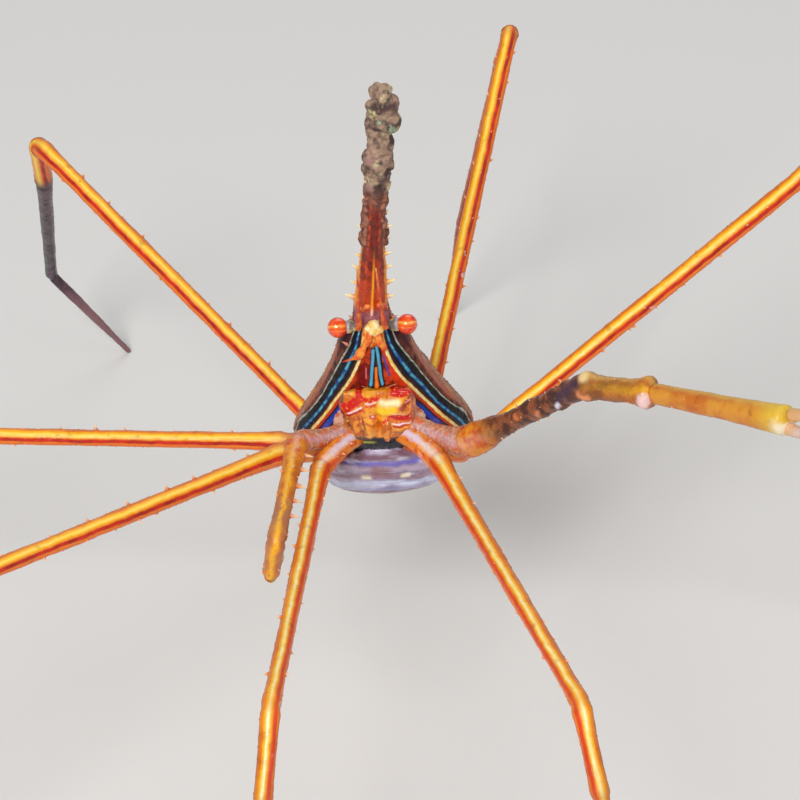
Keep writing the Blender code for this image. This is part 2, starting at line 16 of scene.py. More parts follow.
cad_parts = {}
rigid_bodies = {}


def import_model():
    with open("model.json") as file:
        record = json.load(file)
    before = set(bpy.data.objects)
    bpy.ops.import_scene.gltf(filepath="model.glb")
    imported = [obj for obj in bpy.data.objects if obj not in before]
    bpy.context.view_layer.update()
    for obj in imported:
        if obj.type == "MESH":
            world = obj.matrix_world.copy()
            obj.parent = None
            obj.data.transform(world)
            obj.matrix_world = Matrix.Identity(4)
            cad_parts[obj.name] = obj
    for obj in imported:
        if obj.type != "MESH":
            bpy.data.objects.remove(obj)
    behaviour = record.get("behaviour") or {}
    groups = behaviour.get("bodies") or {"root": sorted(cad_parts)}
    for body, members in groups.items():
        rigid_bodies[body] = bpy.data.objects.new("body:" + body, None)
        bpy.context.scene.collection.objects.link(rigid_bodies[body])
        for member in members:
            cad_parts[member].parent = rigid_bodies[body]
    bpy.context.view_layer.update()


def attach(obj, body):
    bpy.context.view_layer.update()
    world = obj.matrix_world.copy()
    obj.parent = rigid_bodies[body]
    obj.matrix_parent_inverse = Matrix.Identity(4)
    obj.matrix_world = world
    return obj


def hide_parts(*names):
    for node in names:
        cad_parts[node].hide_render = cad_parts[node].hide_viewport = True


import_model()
MM = 0.001

# %% [markdown]
# The body is described in its own axes: x to the crab's left, back towards its back and
# fore towards the tip of the rostrum. One matrix stands the body up, leans and rolls it,
# and carries it to its place over the floor, so that every shell can be drawn straight.
# Look points up and forward to where the photo was taken from, and Up is square to it.

# %% The body's own axes
SHIFT = Vector((8.80, 9.03, 0.0))
BODY_HEIGHT = 31.0
LEAN = math.radians(7.0)
ROLL = math.radians(-3.6)
BODY = (
    Matrix.Translation(SHIFT + Vector((0, 0, BODY_HEIGHT)))
    @ Matrix.Rotation(ROLL, 4, "Y")
    @ Matrix.Rotation(LEAN, 4, "X")
)
TURN_BODY = BODY.to_3x3()
LOOK = Vector((0.0, -0.788, 0.6157))
UP = Vector((0.0, 0.6157, 0.788))


def body_point(x, back, fore):
    """A place in the body's axes, given in millimetres of the world."""
    return BODY @ Vector((x, back, fore))


def direction(heading, rise):
    """An arrow by its heading, 0 to the front and 90 to the crab's left, and its rise."""
    heading, rise = math.radians(heading), math.radians(rise)
    level = math.cos(rise)
    return Vector((level * math.sin(heading), -level * math.cos(heading), math.sin(rise)))


def chain(root, articles):
    """The joints of a limb from its root, by each article's heading, rise and length."""
    points = [body_point(*root)]
    for heading, rise, length in articles:
        points.append(points[-1] + direction(heading, rise) * length)
    return points


def mirrored(places, side):
    """Places for one side, from those of the left."""
    return [(x * side, back, fore) for x, back, fore in places]


print("body stands at", [round(value, 2) for value in body_point(0, 0, 0)])

# %% [markdown]
# The same named rows that made the solids make the shells here. A row of a limb gives its
# root in the body's axes, then a heading, a rise and a length for each article.

# %% Rows of the limbs
HIP_SUNK = 2.2
LAST_HIP_BOW = 1.5
DACTYL_EXTRA_RISE = 9.0
LEGS = {
    "leg_2_right": ((-2.7, -4.0, 2.7), (-29.7, 13.4, 4.8), (-3.9, 13.9, 40.0),
                    (-6.0, -42.0, 7.0), (-8.0, 31.0), 15.5, (0.76, 0.65)),
    "leg_2_left": ((2.6, -4.1, 2.9), (30.5, 16.2, 4.7), (14.5, 12.1, 40.0),
                   (16.0, -42.0, 7.0), (18.0, 31.0), 15.5, (0.78, 0.66)),
    "leg_3_right": ((-3.8, -2.4, 0.7), (-62.5, 19.8, 5.4), (-49.0, 7.4, 40.6),
                    (-50.0, -38.0, 7.0), (-52.0, 30.0), 15.0, (0.80, 0.69)),
    "leg_3_left": ((3.8, -2.4, 0.7), (90.9, -8.2, 3.4), (113.0, 33.0, 38.7),
                   (112.0, -58.0, 7.0), (110.0, 34.0), 17.0, (0.74, 0.80)),
    "leg_4_right": ((-4.2, -1.2, -1.6), (-88.3, 27.5, 4.7), (-91.8, -0.1, 41.0),
                    (-92.0, -30.0, 6.5), (-92.0, 27.0), 14.0, (0.72, 0.74)),
    "leg_4_left": ((4.3, -0.5, -1.7), (132.5, -32.3, 4.3), (127.9, 17.9, 44.2),
                   (128.0, -40.0, 7.0), (128.0, 31.0), 15.5, (0.72, 0.68)),
    "leg_5_left": ((3.4, 0.8, -4.6), (-178.2, -24.1, 8.9), (164.8, 36.5, 40.5),
                   (194.0, -62.0, 6.5), (196.6, 29.0), 15.5, (0.76, 0.72)),
    "leg_5_right": ((-3.4, 0.8, -4.6), (-168.2, -21.1, 8.2), (-131.6, 23.0, 40.5),
                    (-176.6, -64.4, 7.0), (-171.4, -56.5, 24.8), (111.1, 14.5), (0.78, 0.80)),
}
CLAWS = {
    "cheliped_left": ((4.0, -4.2, 5.3), (49.7, 4.1, 4.5), (48.4, 45.6, 17.0),
                      (53.6, 19.2, 7.0), (46.2, 18.4, 13.5), (35.0, 24.0, 8.0),
                      (0.80, 0.92, 0.98, 1.10)),
    "cheliped_right": ((-4.0, -4.2, 5.3), (-46.8, 12.3, 4.0), (-4.6, 7.1, 15.2),
                       (-143.4, -77.5, 4.5), (-179.3, -32.9, 11.5), (177.7, -27.8, 8.0),
                       (0.68, 0.74, 0.64, 0.70)),
}
print(len(LEGS), "walking legs and", len(CLAWS), "claws")

# %% [markdown]
# Shader sums are easier to read as arithmetic. Wire holds one output of a node and turns
# every sum on it into a Math node. Paint holds one material and the colour so far. It lays
# shades over that colour with the Mix node, where a mask of bands, blots or strokes lets it.

# %% Wires and paints
def plug(tree, socket, value):
    """Links a wire or another node's output to a socket, or sets a plain value on it."""
    value = getattr(value, "socket", value)
    if isinstance(value, bpy.types.NodeSocket):
        tree.links.new(value, socket)
    elif value is not None:
        socket.default_value = value


class Nodes:
    """A tree of nodes. One method makes any node from its type, settings and inputs."""

    def make(self, kind, settings, inputs):
        made = self.tree.nodes.new(kind)
        for key, value in (settings or {}).items():
            setattr(made, key, value)
        for key, value in inputs:
            plug(self.tree, made.inputs[key], value)
        return made


class Wire:
    """One output of a shader node. Sums on it add Math nodes."""

    def __init__(self, paint, socket):
        self.paint = paint
        self.socket = socket

    def sum(self, operation, first, second=None):
        return self.paint.node("ShaderNodeMath", {"operation": operation}, first, second)

    def __add__(self, other):
        return self.sum("ADD", self, other)

    def __radd__(self, other):
        return self.sum("ADD", other, self)

    def __sub__(self, other):
        return self.sum("SUBTRACT", self, other)

    def __rsub__(self, other):
        return self.sum("SUBTRACT", other, self)

    def __mul__(self, other):
        return self.sum("MULTIPLY", self, other)

    def __rmul__(self, other):
        return self.sum("MULTIPLY", other, self)

    def __truediv__(self, other):
        return self.sum("DIVIDE", self, other)

    def __abs__(self):
        return self.sum("ABSOLUTE", self)


def ink(red, green, blue):
    """A colour given as on a screen, from 0 to 255, made linear."""
    parts = [value / 255 for value in (red, green, blue)]
    return [v / 12.92 if v <= 0.04045 else ((v + 0.055) / 1.055) ** 2.4 for v in parts] + [1.0]


class Paint(Nodes):
    """A material with one Principled shader, the nodes that feed it and the colour so far."""

    def __init__(self, name, roughness=0.4, coat=0.0, shine=0.5):
        self.material = bpy.data.materials.new(name)
        self.material.use_nodes = True
        self.tree = self.material.node_tree
        self.shader = self.tree.nodes["Principled BSDF"]
        self.colour = None
        for key, value in (("Roughness", roughness), ("Coat Weight", coat),
                           ("Coat Roughness", 0.12), ("Specular IOR Level", shine)):
            self.shader.inputs[key].default_value = value

    def node(self, kind, settings=None, *inputs, output=0, **named):
        made = self.make(kind, settings, [*enumerate(inputs), *named.items()])
        return Wire(self, made.outputs[output])

    def place(self):
        """Object coordinates in millimetres."""
        coordinates = self.node("ShaderNodeTexCoord", output="Object")
        scale = (1 / MM, 1 / MM, 1 / MM)
        return self.node("ShaderNodeMapping", None, Vector=coordinates, Scale=scale)

    def noise(self, size, detail=3.0):
        """Cloudy values from 0 to 1 with features of this size in millimetres."""
        return self.node("ShaderNodeTexNoise", None, Vector=self.place(), Scale=1 / size,
                         Detail=detail, Roughness=0.55)

    def value(self, name):
        return self.node("ShaderNodeAttribute", {"attribute_name": name}, output="Fac")

    def climb(self, value, low, high):
        """0 below low, 1 above high and a smooth step between them."""
        return self.node("ShaderNodeMapRange", {"interpolation_type": "SMOOTHSTEP"},
                         value, low, high, 0.0, 1.0)

    def band(self, value, middle, half, soft):
        """1 on a band round middle and 0 off it, with soft edges."""
        return self.climb(abs(value - middle), half + soft, half - soft)

    def blots(self, size, low, high, detail=3.0):
        """Round blots of this size: 1 inside them and 0 between them."""
        return self.climb(self.noise(size, detail), low, high)

    def stir(self, size, reach, detail=3.0):
        """A small shift either way, which bends a line or an edge."""
        return (self.noise(size, detail) - 0.5) * reach

    def mix(self, mask, under, over):
        """Two colours mixed by a mask. A plain colour is given as on a screen."""
        under, over = (ink(*shade) if isinstance(shade, tuple) else shade
                       for shade in (under, over))
        made = self.make("ShaderNodeMix", {"data_type": "RGBA"},
                         ((0, mask), (6, under), (7, over)))
        return Wire(self, made.outputs[2])

    def mottle(self, size, low, high, under, over):
        return self.mix(self.blots(size, low, high), under, over)

    def lay(self, mask, shade):
        """Lays a shade over the colour so far, where the mask lets it."""
        self.colour = self.mix(mask, self.colour, shade)

    def bands(self, value, rows):
        """Lays bands on a value, each with a middle, half width, softness, share and shade."""
        for middle, half, soft, share, shade in rows:
            self.lay(self.band(value, middle, half, soft) * share, shade)

    def stroke(self, across, ahead, start, end, half, soft):
        """1 along a straight stroke on two coordinates, with rounded ends and soft edges."""
        run, rise = end[0] - start[0], end[1] - start[1]
        size = max(run * run + rise * rise, 1e-6)
        part = ((across - start[0]) * run + (ahead - start[1]) * rise) / size
        part = self.node("ShaderNodeClamp", None, part)
        side, up = across - start[0] - part * run, ahead - start[1] - part * rise
        away = self.node("ShaderNodeMath", {"operation": "SQRT"}, side * side + up * up)
        return self.climb(away, half + soft, half - soft)

    def strokes(self, across, ahead, rows, share=1.0):
        """Lays strokes, each with a start, an end, a half width, a softness and a shade."""
        for start, end, half, soft, shade in rows:
            self.lay(self.stroke(across, ahead, start, end, half, soft) * share, shade)

    def drift(self, distance, size):
        """A slow change from 0 to 1 along a limb."""
        return self.node("ShaderNodeTexNoise", {"noise_dimensions": "1D"}, None, distance,
                         1 / size, 2.0)

    def angle(self, sine, cosine):
        return self.node("ShaderNodeMath", {"operation": "ARCTAN2"}, sine, cosine)

    def finish(self, roughness=None, height=None, depth=0.02):
        """Feeds the shader with the colour so far, and with roughness and bump if given."""
        plug(self.tree, self.shader.inputs["Base Color"], self.colour)
        plug(self.tree, self.shader.inputs["Roughness"], roughness)
        if height is not None:
            bump = self.node("ShaderNodeBump", None, Distance=depth * MM, Height=height)
            plug(self.tree, self.shader.inputs["Normal"], bump)
        return self.material


print("red lead of the stripes:", [round(value, 3) for value in ink(190, 40, 10)])

# %% [markdown]
# A shell is a stack of rings. Its two ends close in a fan of triangles, the seam keeps
# its own edge in the UV map, and values such as the distance along the limb are kept on
# its points, where the paint can read them. A ring is laid out by spokes: a direction that
# faces up and forward, one beside it, and the turns between them.

# %% Shells from rings
def unit(rows):
    """Each row of three made one long."""
    return rows / np.linalg.norm(rows, axis=-1)[..., None]


def hump(distance, reach):
    """A round hump: 1 where the distance is 0, and almost nothing two reaches off."""
    return np.exp(-((distance / reach) ** 2))


def ring_turns(sides):
    """The angle of each point of a ring."""
    return 2 * np.pi * np.arange(sides) / sides


def facing_frame(tangents):
    """For each ring, the direction that faces up and forward and the one beside it."""
    look = np.array(LOOK)
    facing = unit(look - (tangents @ look)[:, None] * tangents)
    return facing, np.cross(tangents, facing)


def spokes(facing, beside, turns):
    """For each ring, the directions from its centre to its points."""
    return (facing[:, None] * np.cos(turns)[None, :, None]
            + beside[:, None] * np.sin(turns)[None, :, None])


def bowed(line, bow, parts):
    """A straight line of points, bowed sideways in the middle."""
    return line + np.array(bow) * (4 * parts * (1 - parts))[:, None]


def put(name, data):
    """A new object in the scene, at the origin and unturned."""
    made = bpy.data.objects.new(name, data)
    bpy.context.scene.collection.objects.link(made)
    return made


def keep(mesh, name, values, kind="FLOAT", field="value"):
    """Keeps values on a mesh's points, where paints and trees can read them."""
    mesh.attributes.new(name, kind, "POINT").data.foreach_set(field, values)


def shell(name, rings, values, material):
    """A closed mesh through rings of points in millimetres, with values on its points."""
    rings = np.asarray(rings, float)
    rows, sides = rings.shape[:2]
    points = np.vstack([rings.reshape(-1, 3), rings[0].mean(0), rings[-1].mean(0)])
    row, side = np.meshgrid(np.arange(rows - 1), np.arange(sides), indexing="ij")
    after = (side + 1) % sides
    quads = np.stack(
        [row * sides + side, row * sides + after,
         (row + 1) * sides + after, (row + 1) * sides + side], -1
    ).reshape(-1, 4)
    k = np.arange(sides)
    first = np.stack([(k + 1) % sides, k, np.full(sides, rows * sides)], -1)
    base = (rows - 1) * sides
    last = np.stack([base + k, base + (k + 1) % sides, np.full(sides, rows * sides + 1)], -1)
    faces = quads.tolist() + first.tolist() + last.tolist()
    mesh = bpy.data.meshes.new(name)
    mesh.from_pydata((points * MM).tolist(), [], faces)
    column = np.stack([side, side + 1, side + 1, side], -1).reshape(-1) / sides
    level = np.stack([row, row, row + 1, row + 1], -1).reshape(-1) / (rows - 1)
    fan = np.stack([k + 1, k, k + 0.5], -1).reshape(-1) / sides
    fan_back = np.stack([k, k + 1, k + 0.5], -1).reshape(-1) / sides
    u = np.concatenate([column, fan, fan_back])
    v = np.concatenate([level, np.zeros(len(fan)), np.ones(len(fan))])
    lay = mesh.uv_layers.new(name="Lay")
    lay.data.foreach_set("uv", np.stack([u, v], -1).ravel())
    for key, given in values.items():
        grid = np.broadcast_to(np.asarray(given, float), (rows, sides))
        whole = np.concatenate([grid.ravel(), [grid[0].mean(), grid[-1].mean()]])
        keep(mesh, key, whole)
    check = bmesh.new()
    check.from_mesh(mesh)
    inside_out = check.calc_volume(signed=True) < 0
    check.free()
    if inside_out:
        mesh.flip_normals()
    mesh.shade_smooth()
    mesh.materials.append(material)
    return put(name, mesh)


def clouds(points, size, seed=0.0):
    """Smooth noise from -1 to 1 at each point, with features of this size."""
    flat = np.asarray(points, float).reshape(-1, 3) / size + seed
    found = [noise.noise(point) for point in flat.tolist()]
    return np.array(found).reshape(np.asarray(points).shape[:-1])


print("clouds at the body:", clouds([list(body_point(0, 0, 0))], 2.0).round(3))

# %% [markdown]
# Spines stand on the real shell as small bent cones with a pale tip. A tree of Geometry
# Nodes sets one on every point of a guide mesh, turned along the point's own arrow and
# scaled by the point's own size, and joins them to the shell that they grow from.

# %% A tree for spines
class Tree(Nodes):
    """A Geometry Nodes tree with named inputs."""

    def __init__(self, name, inputs):
        self.tree = bpy.data.node_groups.new(name, "GeometryNodeTree")
        face = self.tree.interface
        face.new_socket("Shell", in_out="INPUT", socket_type="NodeSocketGeometry")
        for label, kind in inputs:
            face.new_socket(label, in_out="INPUT", socket_type="NodeSocket" + kind)
        face.new_socket("Shell", in_out="OUTPUT", socket_type="NodeSocketGeometry")
        self.given = self.tree.nodes.new("NodeGroupInput")
        self.result = self.tree.nodes.new("NodeGroupOutput")

    def node(self, kind, settings=None, **named):
        inputs = [(key.replace("_", " "), value) for key, value in named.items()]
        return self.make(kind, settings, inputs)

    def math(self, operation, first, second):
        inputs = enumerate((first, second))
        return self.make("ShaderNodeMath", {"operation": operation}, inputs).outputs[0]

    def read(self, name, kind="FLOAT"):
        """A value that the mesh keeps on its points."""
        found = self.node("GeometryNodeInputNamedAttribute", {"data_type": kind}, Name=name)
        return found.outputs[0]

    def draw(self):
        """A random factor round 1, as wide as the input Spread and fixed by Seed."""
        given = self.given.outputs
        low = self.math("SUBTRACT", 1.0, given["Spread"])
        high = self.math("ADD", 1.0, given["Spread"])
        return self.make("FunctionNodeRandomValue", {"data_type": "FLOAT"},
                         ((2, low), (3, high), ("Seed", given["Seed"]))).outputs[1]

    def stand(self, points, shape, rotation, scale):
        """Stands a shape on the points, makes it real and painted, and joins the shell."""
        stood = self.node("GeometryNodeInstanceOnPoints", Points=points, Instance=shape,
                          Rotation=rotation, Scale=scale)
        real = self.node("GeometryNodeRealizeInstances", Geometry=stood.outputs[0])
        soft = self.node("GeometryNodeSetShadeSmooth", Geometry=real.outputs[0])
        painted = self.node("GeometryNodeSetMaterial", Geometry=soft.outputs[0],
                            Material=self.given.outputs["Paint"])
        joined = self.node("GeometryNodeJoinGeometry")
        for part in (painted.outputs[0], self.given.outputs["Shell"]):
            plug(self.tree, joined.inputs[0], part)
        plug(self.tree, self.result.inputs[0], joined.outputs[0])
        return self

    def apply(self, piece, **values):
        """Puts the tree on a piece, reads its result into a plain mesh and takes it off."""
        modifier = piece.modifiers.new(self.tree.name, "NODES")
        modifier.node_group = self.tree
        for item in self.tree.interface.items_tree:
            key = item.name.replace(" ", "_")
            if item.in_out == "INPUT" and key in values:
                modifier[item.identifier] = values[key]
        bpy.context.view_layer.update()
        graph = bpy.context.evaluated_depsgraph_get()
        mesh = bpy.data.meshes.new_from_object(
            piece.evaluated_get(graph), preserve_all_data_layers=True, depsgraph=graph
        )
        piece.modifiers.remove(modifier)
        old = piece.data
        piece.data = mesh
        bpy.data.meshes.remove(old)
        mesh.name = piece.name
        return piece


def spine_tree():
    tree = Tree("Spines", (("Guides", "Object"), ("Root radius", "Float"), ("Length", "Float"),
                           ("Bend", "Float"), ("Spread", "Float"), ("Seed", "Int"),
                           ("Paint", "Material")))
    given = tree.given.outputs
    guides = tree.node("GeometryNodeObjectInfo", Object=given["Guides"])
    cone = tree.node("GeometryNodeMeshCone", Vertices=8, Side_Segments=5,
                     Radius_Bottom=given["Root radius"], Radius_Top=0.0, Depth=given["Length"])
    place = tree.node("GeometryNodeInputPosition")
    height = tree.node("ShaderNodeSeparateXYZ", Vector=place.outputs[0]).outputs["Z"]
    share = tree.math("DIVIDE", height, given["Length"])
    lean = tree.math("MULTIPLY", tree.math("MULTIPLY", share, share), given["Bend"])
    offset = tree.node("ShaderNodeCombineXYZ", X=lean)
    bent = tree.node("GeometryNodeSetPosition", Geometry=cone.outputs["Mesh"],
                     Offset=offset.outputs[0])
    tipped = tree.node("GeometryNodeStoreNamedAttribute", {"data_type": "FLOAT"},
                       Geometry=bent.outputs[0], Name="tip", Value=share)
    turned = tree.node("FunctionNodeAlignRotationToVector", {"axis": "Z"},
                       Vector=tree.read("lie", "FLOAT_VECTOR"))
    scale = tree.math("MULTIPLY", tree.read("size"), tree.draw())
    return tree.stand(guides.outputs["Geometry"], tipped.outputs[0], turned.outputs[0], scale)


SPINES = spine_tree()
print("spine tree has", len(SPINES.tree.nodes), "nodes")

# %% [markdown]
# The shell is also sown with granules, tiny blunt beads. A second tree scatters them with
# a fixed seed where the shell's value "grain" allows it. The beads take over the values
# of the skin under them, so the same paint colours both.

# %% A tree for granules
def granule_tree():
    tree = Tree("Granules", (("Spacing", "Float"), ("Density", "Float"), ("Size", "Float"),
                             ("Spread", "Float"), ("Seed", "Int"), ("Paint", "Material")))
    given = tree.given.outputs
    sown = tree.node("GeometryNodeDistributePointsOnFaces", {"distribute_method": "POISSON"},
                     Mesh=given["Shell"], Distance_Min=given["Spacing"],
                     Density_Max=given["Density"], Density_Factor=tree.read("grain"),
                     Seed=given["Seed"])
    bead = tree.node("GeometryNodeMeshIcoSphere", Radius=given["Size"], Subdivisions=1)
    return tree.stand(sown.outputs["Points"], bead.outputs["Mesh"], sown.outputs["Rotation"],
                      tree.draw())


GRANULES = granule_tree()


def guide_mesh(name, places):
    """A mesh of loose points, each with the arrow and the size of its spine."""
    mesh = bpy.data.meshes.new(name)
    mesh.from_pydata([list(place * MM) for place, lie, size in places], [], [])
    arrows = np.array([list(lie) for place, lie, size in places]).ravel()
    keep(mesh, "lie", arrows, "FLOAT_VECTOR", "vector")
    keep(mesh, "size", np.array([size for place, lie, size in places]))
    return put(name, mesh)


def grow_spines(piece, places, radius, length, paint, bend=0.12, spread=0.2, seed=1):
    """Spines on a piece at the given places, joined to its mesh."""
    guide = guide_mesh(piece.name + "_guides", places)
    SPINES.apply(piece, Guides=guide, Root_radius=radius * MM, Length=length * MM,
                 Bend=bend * MM, Spread=spread, Seed=seed, Paint=paint)
    bpy.data.objects.remove(guide, do_unlink=True)
    return piece


def sow(piece, spacing, size, paint, density=12.0, seed=1):
    """Granules over the piece. Spacing and size in millimetres, density per square one."""
    GRANULES.apply(piece, Spacing=spacing * MM, Density=density / MM**2, Size=size * MM,
                   Spread=0.35, Seed=seed, Paint=paint)
    return piece


print("granule tree has", len(GRANULES.tree.nodes), "nodes")

# %% [markdown]
# Each leg wears lines along its whole length. A yellow line lies on the upper side, with a
# painted highlight along its core, a red one below it and orange beside that, mirrored from
# left to right. The shell keeps the turn from the yellow line as two values, cosine and
# sine, so that the lines close behind without a seam. Hips change to blotches and granular
# skin, with a painted highlight on the side that faces up and forward. The claws are golden
# brown, and the left arm has a few marks of its own.

# %% Paint of the legs and claws
def hip_skin(paint, turn, skin):
    """Red and orange blotches towards the root, then granular skin with a painted highlight on one
    side.
    """
    hip = paint.value("hip")
    blotches = paint.mottle(0.9, 0.34, 0.60, (206, 40, 8), (246, 158, 30))
    root_skin = paint.mottle(0.3, 0.3, 0.7, skin[0], skin[1])
    root_skin = paint.mix(paint.blots(1.0, 0.48, 0.62) * 0.8, root_skin, (222, 104, 36))
    paint.lay(paint.climb(hip, 0.05, 0.5) * 0.7, blotches)
    paint.lay(paint.climb(hip, 0.6, 0.98), root_skin)
    # A painted highlight on the hip's side that faces up and forward.
    near = paint.climb(abs(turn) + paint.stir(0.6, 0.7), 0.62, 0.05)
    paint.lay(near * hip * paint.value("pearl"), skin[2])


def leg_paint():
    paint = Paint("leg shell", roughness=0.3, coat=0.18, shine=0.35)
    along = paint.value("along")
    slow, quick = paint.drift(along, 7.0), paint.drift(along + 40.0, 1.6)
    wobble = (slow - 0.5) * 0.4 + (quick - 0.5) * 0.18 + paint.stir(0.5, 0.14)
    turn = paint.angle(paint.value("beside"), paint.value("facing")) + wobble
    amber = paint.mix(paint.climb(slow, 0.35, 0.65), (226, 116, 10), (238, 140, 16))
    paint.colour = paint.mix(paint.climb(turn, -0.75, -1.25), amber, (186, 84, 12))
    paint.bands(turn, ((-0.06, 0.40, 0.12, 1.0, (254, 178, 12)),
                       (-0.02, 0.17, 0.12, 1.0, (255, 214, 52))))
    # A pale line along the yellow one's core is a painted highlight, broken here and there along
    # the leg.
    breaks = paint.climb(paint.drift(along + 90.0, 1.9), 0.3, 0.7)
    white = paint.value("white") * (0.45 + breaks * 0.5)
    paint.lay(paint.band(turn, 0.0, 0.12, 0.20) * white, (255, 246, 200))
    red = paint.mottle(1.4, 0.3, 0.7, (160, 14, 3), (218, 38, 4))
    # The red lines turn lighter orange on the front legs, which carry the strongest painted core
    # highlight.
    red = paint.mix(paint.climb(paint.value("white"), 0.4, 0.9) * 0.6, red, (244, 80, 10))
    paint.bands(turn, ((0.74, 0.23, 0.08, 1.0, red), (1.40, 0.30, 0.12, 1.0, (238, 112, 14)),
                       (2.05, 0.16, 0.08, 1.0, red), (-1.85, 0.16, 0.08, 1.0, red)))
    paint.lay(paint.climb(abs(turn), 2.60, 2.85), (250, 176, 40))
    paint.lay(paint.blots(1.1, 0.56, 0.74) * 0.35, (150, 44, 10))
    knots = paint.blots(1.7, 0.70, 0.74, detail=1.0)
    paint.lay(knots * paint.climb(turn, 0.5, 0.9) * 0.7, (240, 200, 196))
    paint.lay(paint.value("joint") * 0.4, (206, 120, 60))
    # The third skin colour is the painted highlight on the hip.
    skin = ((176, 104, 84), (232, 190, 170), (226, 220, 244))
    hip_skin(paint, turn, skin)
    # The value dark darkens each leg towards its toe, and on the last right leg it is painted
    # shade from the knee on.
    wash = paint.mottle(0.9, 0.4, 0.65, (34, 18, 32), (84, 52, 74))
    wash = paint.mix(paint.climb(along, 82.0, 90.0) * 0.7, wash, (150, 106, 108))
    paint.lay(paint.value("dark"), wash)
    height = paint.noise(0.35, detail=4.0) + paint.noise(0.12, detail=2.0) * 0.6
    return paint.finish(0.24 + paint.noise(0.8) * 0.24, height, 0.06)


# Marks on the left arm: start and end as (along, turn), half width, softness and colour
ARM_MARKS = (
    ((24.5, -1.0), (30.6, -1.2), 0.40, 0.30, (206, 156, 74)),
    # A painted shadow at the end of the merus
    ((21.6, -0.1), (23.6, -0.4), 0.55, 0.35, (64, 44, 66)),
    ((20.8, 0.55), (21.0, 0.45), 0.22, 0.18, (226, 224, 240)),
    ((30.2, 0.75), (30.9, 0.50), 0.42, 0.22, (242, 208, 204)),
    ((24.4, -0.9), (24.5, -0.6), 0.35, 0.25, (246, 214, 150)),
    ((24.0, 0.6), (24.8, 0.9), 0.30, 0.22, (238, 150, 96)),
    ((18.0, 0.5), (18.3, 0.3), 0.24, 0.20, (212, 132, 86)),
    ((15.4, -0.3), (15.6, 0.0), 0.22, 0.18, (216, 120, 64)),
)


def claw_paint():
    paint = Paint("claw shell", roughness=0.34, coat=0.15, shine=0.35)
    along = paint.value("along")
    turn = paint.angle(paint.value("beside"), paint.value("facing"))
    turn = turn + paint.stir(1.3, 0.9) + paint.stir(0.4, 0.3)
    paint.colour = paint.mottle(1.2, 0.35, 0.65, (200, 104, 22), (230, 140, 34))
    paint.lay(paint.band(turn, -0.05, 0.35, 0.30), (255, 182, 16))
    paint.lay(paint.climb(abs(turn), 1.0, 1.7) * 0.75, (160, 74, 26))
    paint.lay(paint.value("tint") * paint.climb(abs(turn), 0.1, 0.5), (178, 124, 96))
    golden = paint.mottle(1.6, 0.35, 0.65, (196, 102, 32), (216, 146, 50))
    golden = paint.mix(paint.climb(turn, -0.5, -1.1) * 0.6, golden, (216, 190, 84))
    golden = paint.mix(paint.climb(along, 9.5, 13.0) * 0.8, golden, (234, 200, 64))
    golden = paint.mix(paint.climb(along, 12.0, 13.4) * paint.climb(turn, 0.0, 0.6), golden,
                       (244, 236, 206))
    paint.lay(paint.value("golden") * 0.9, golden)
    paint.lay(paint.blots(0.9, 0.60, 0.72, detail=2.0) * 0.5, (150, 76, 22))
    wash = paint.mottle(1.0, 0.42, 0.60, (76, 40, 30), (146, 80, 46))
    paint.lay(paint.value("dark"), wash)
    paint.strokes(along, turn, ARM_MARKS, paint.value("marked") * 0.9)
    # The third skin colour is the painted highlight on the hip.
    skin = ((170, 92, 66), (232, 180, 146), (206, 196, 226))
    hip_skin(paint, turn, skin)
    height = paint.noise(0.4, detail=4.0) + paint.noise(0.15, detail=2.0) * 0.6
    return paint.finish(0.28 + paint.noise(0.8) * 0.24, height, 0.08)


LEG_PAINT, CLAW_PAINT = leg_paint(), claw_paint()


def spine_paint(name, root, tip):
    paint = Paint(name, roughness=0.35, coat=0.2)
    paint.colour = paint.mix(paint.climb(paint.value("tip"), 0.1, 0.8), root, tip)
    return paint.finish()


LEG_SPINE_PAINT = spine_paint("leg spines", (214, 96, 26), (246, 206, 160))
RED_SPINE_PAINT = spine_paint("red spines", (200, 44, 14), (226, 150, 120))
CREAM_SPINE_PAINT = spine_paint("cream spines", (214, 112, 30), (255, 230, 168))
print("paints so far:", [material.name for material in bpy.data.materials][-5:])

# %% [markdown]
# A limb's shell could be five tubes, but then every joint would show a seam. Here one
# tube runs from the root to the tip. Its path is sampled finely and smoothed, which
# rounds the knees. Each joint gets a swollen end, a narrow groove and a pale skin, low
# ridges run along the shell, and knobs are raised where a limb's list asks for them.

# %% Paths and radii of limbs
STEP = 0.28
SIDES = 36
KNEE_ROUNDING, KNOB_REACH = 0.55, 1.6
TOE_RADIUS, TOE_ROUNDING = 0.3, 0.35
GROOVE_DEPTH, GROOVE_REACH = 0.15, 0.24
SWELL_AT, SWELL_REACH = 1.6, 3.2
RIDGES, RIDGE_HEIGHT = 6, 0.014


def landing_fall(height, propodus, dactyl):
    """The propodus's fall in degrees for which the dactyl ends on the floor."""
    low, high = 0.0, 90.0 - DACTYL_EXTRA_RISE
    for _ in range(50):
        fall = (low + high) / 2
        drop = propodus * math.sin(math.radians(fall))
        drop += dactyl * math.sin(math.radians(fall + DACTYL_EXTRA_RISE))
        low, high = (fall, high) if drop < height else (low, fall)
    return low


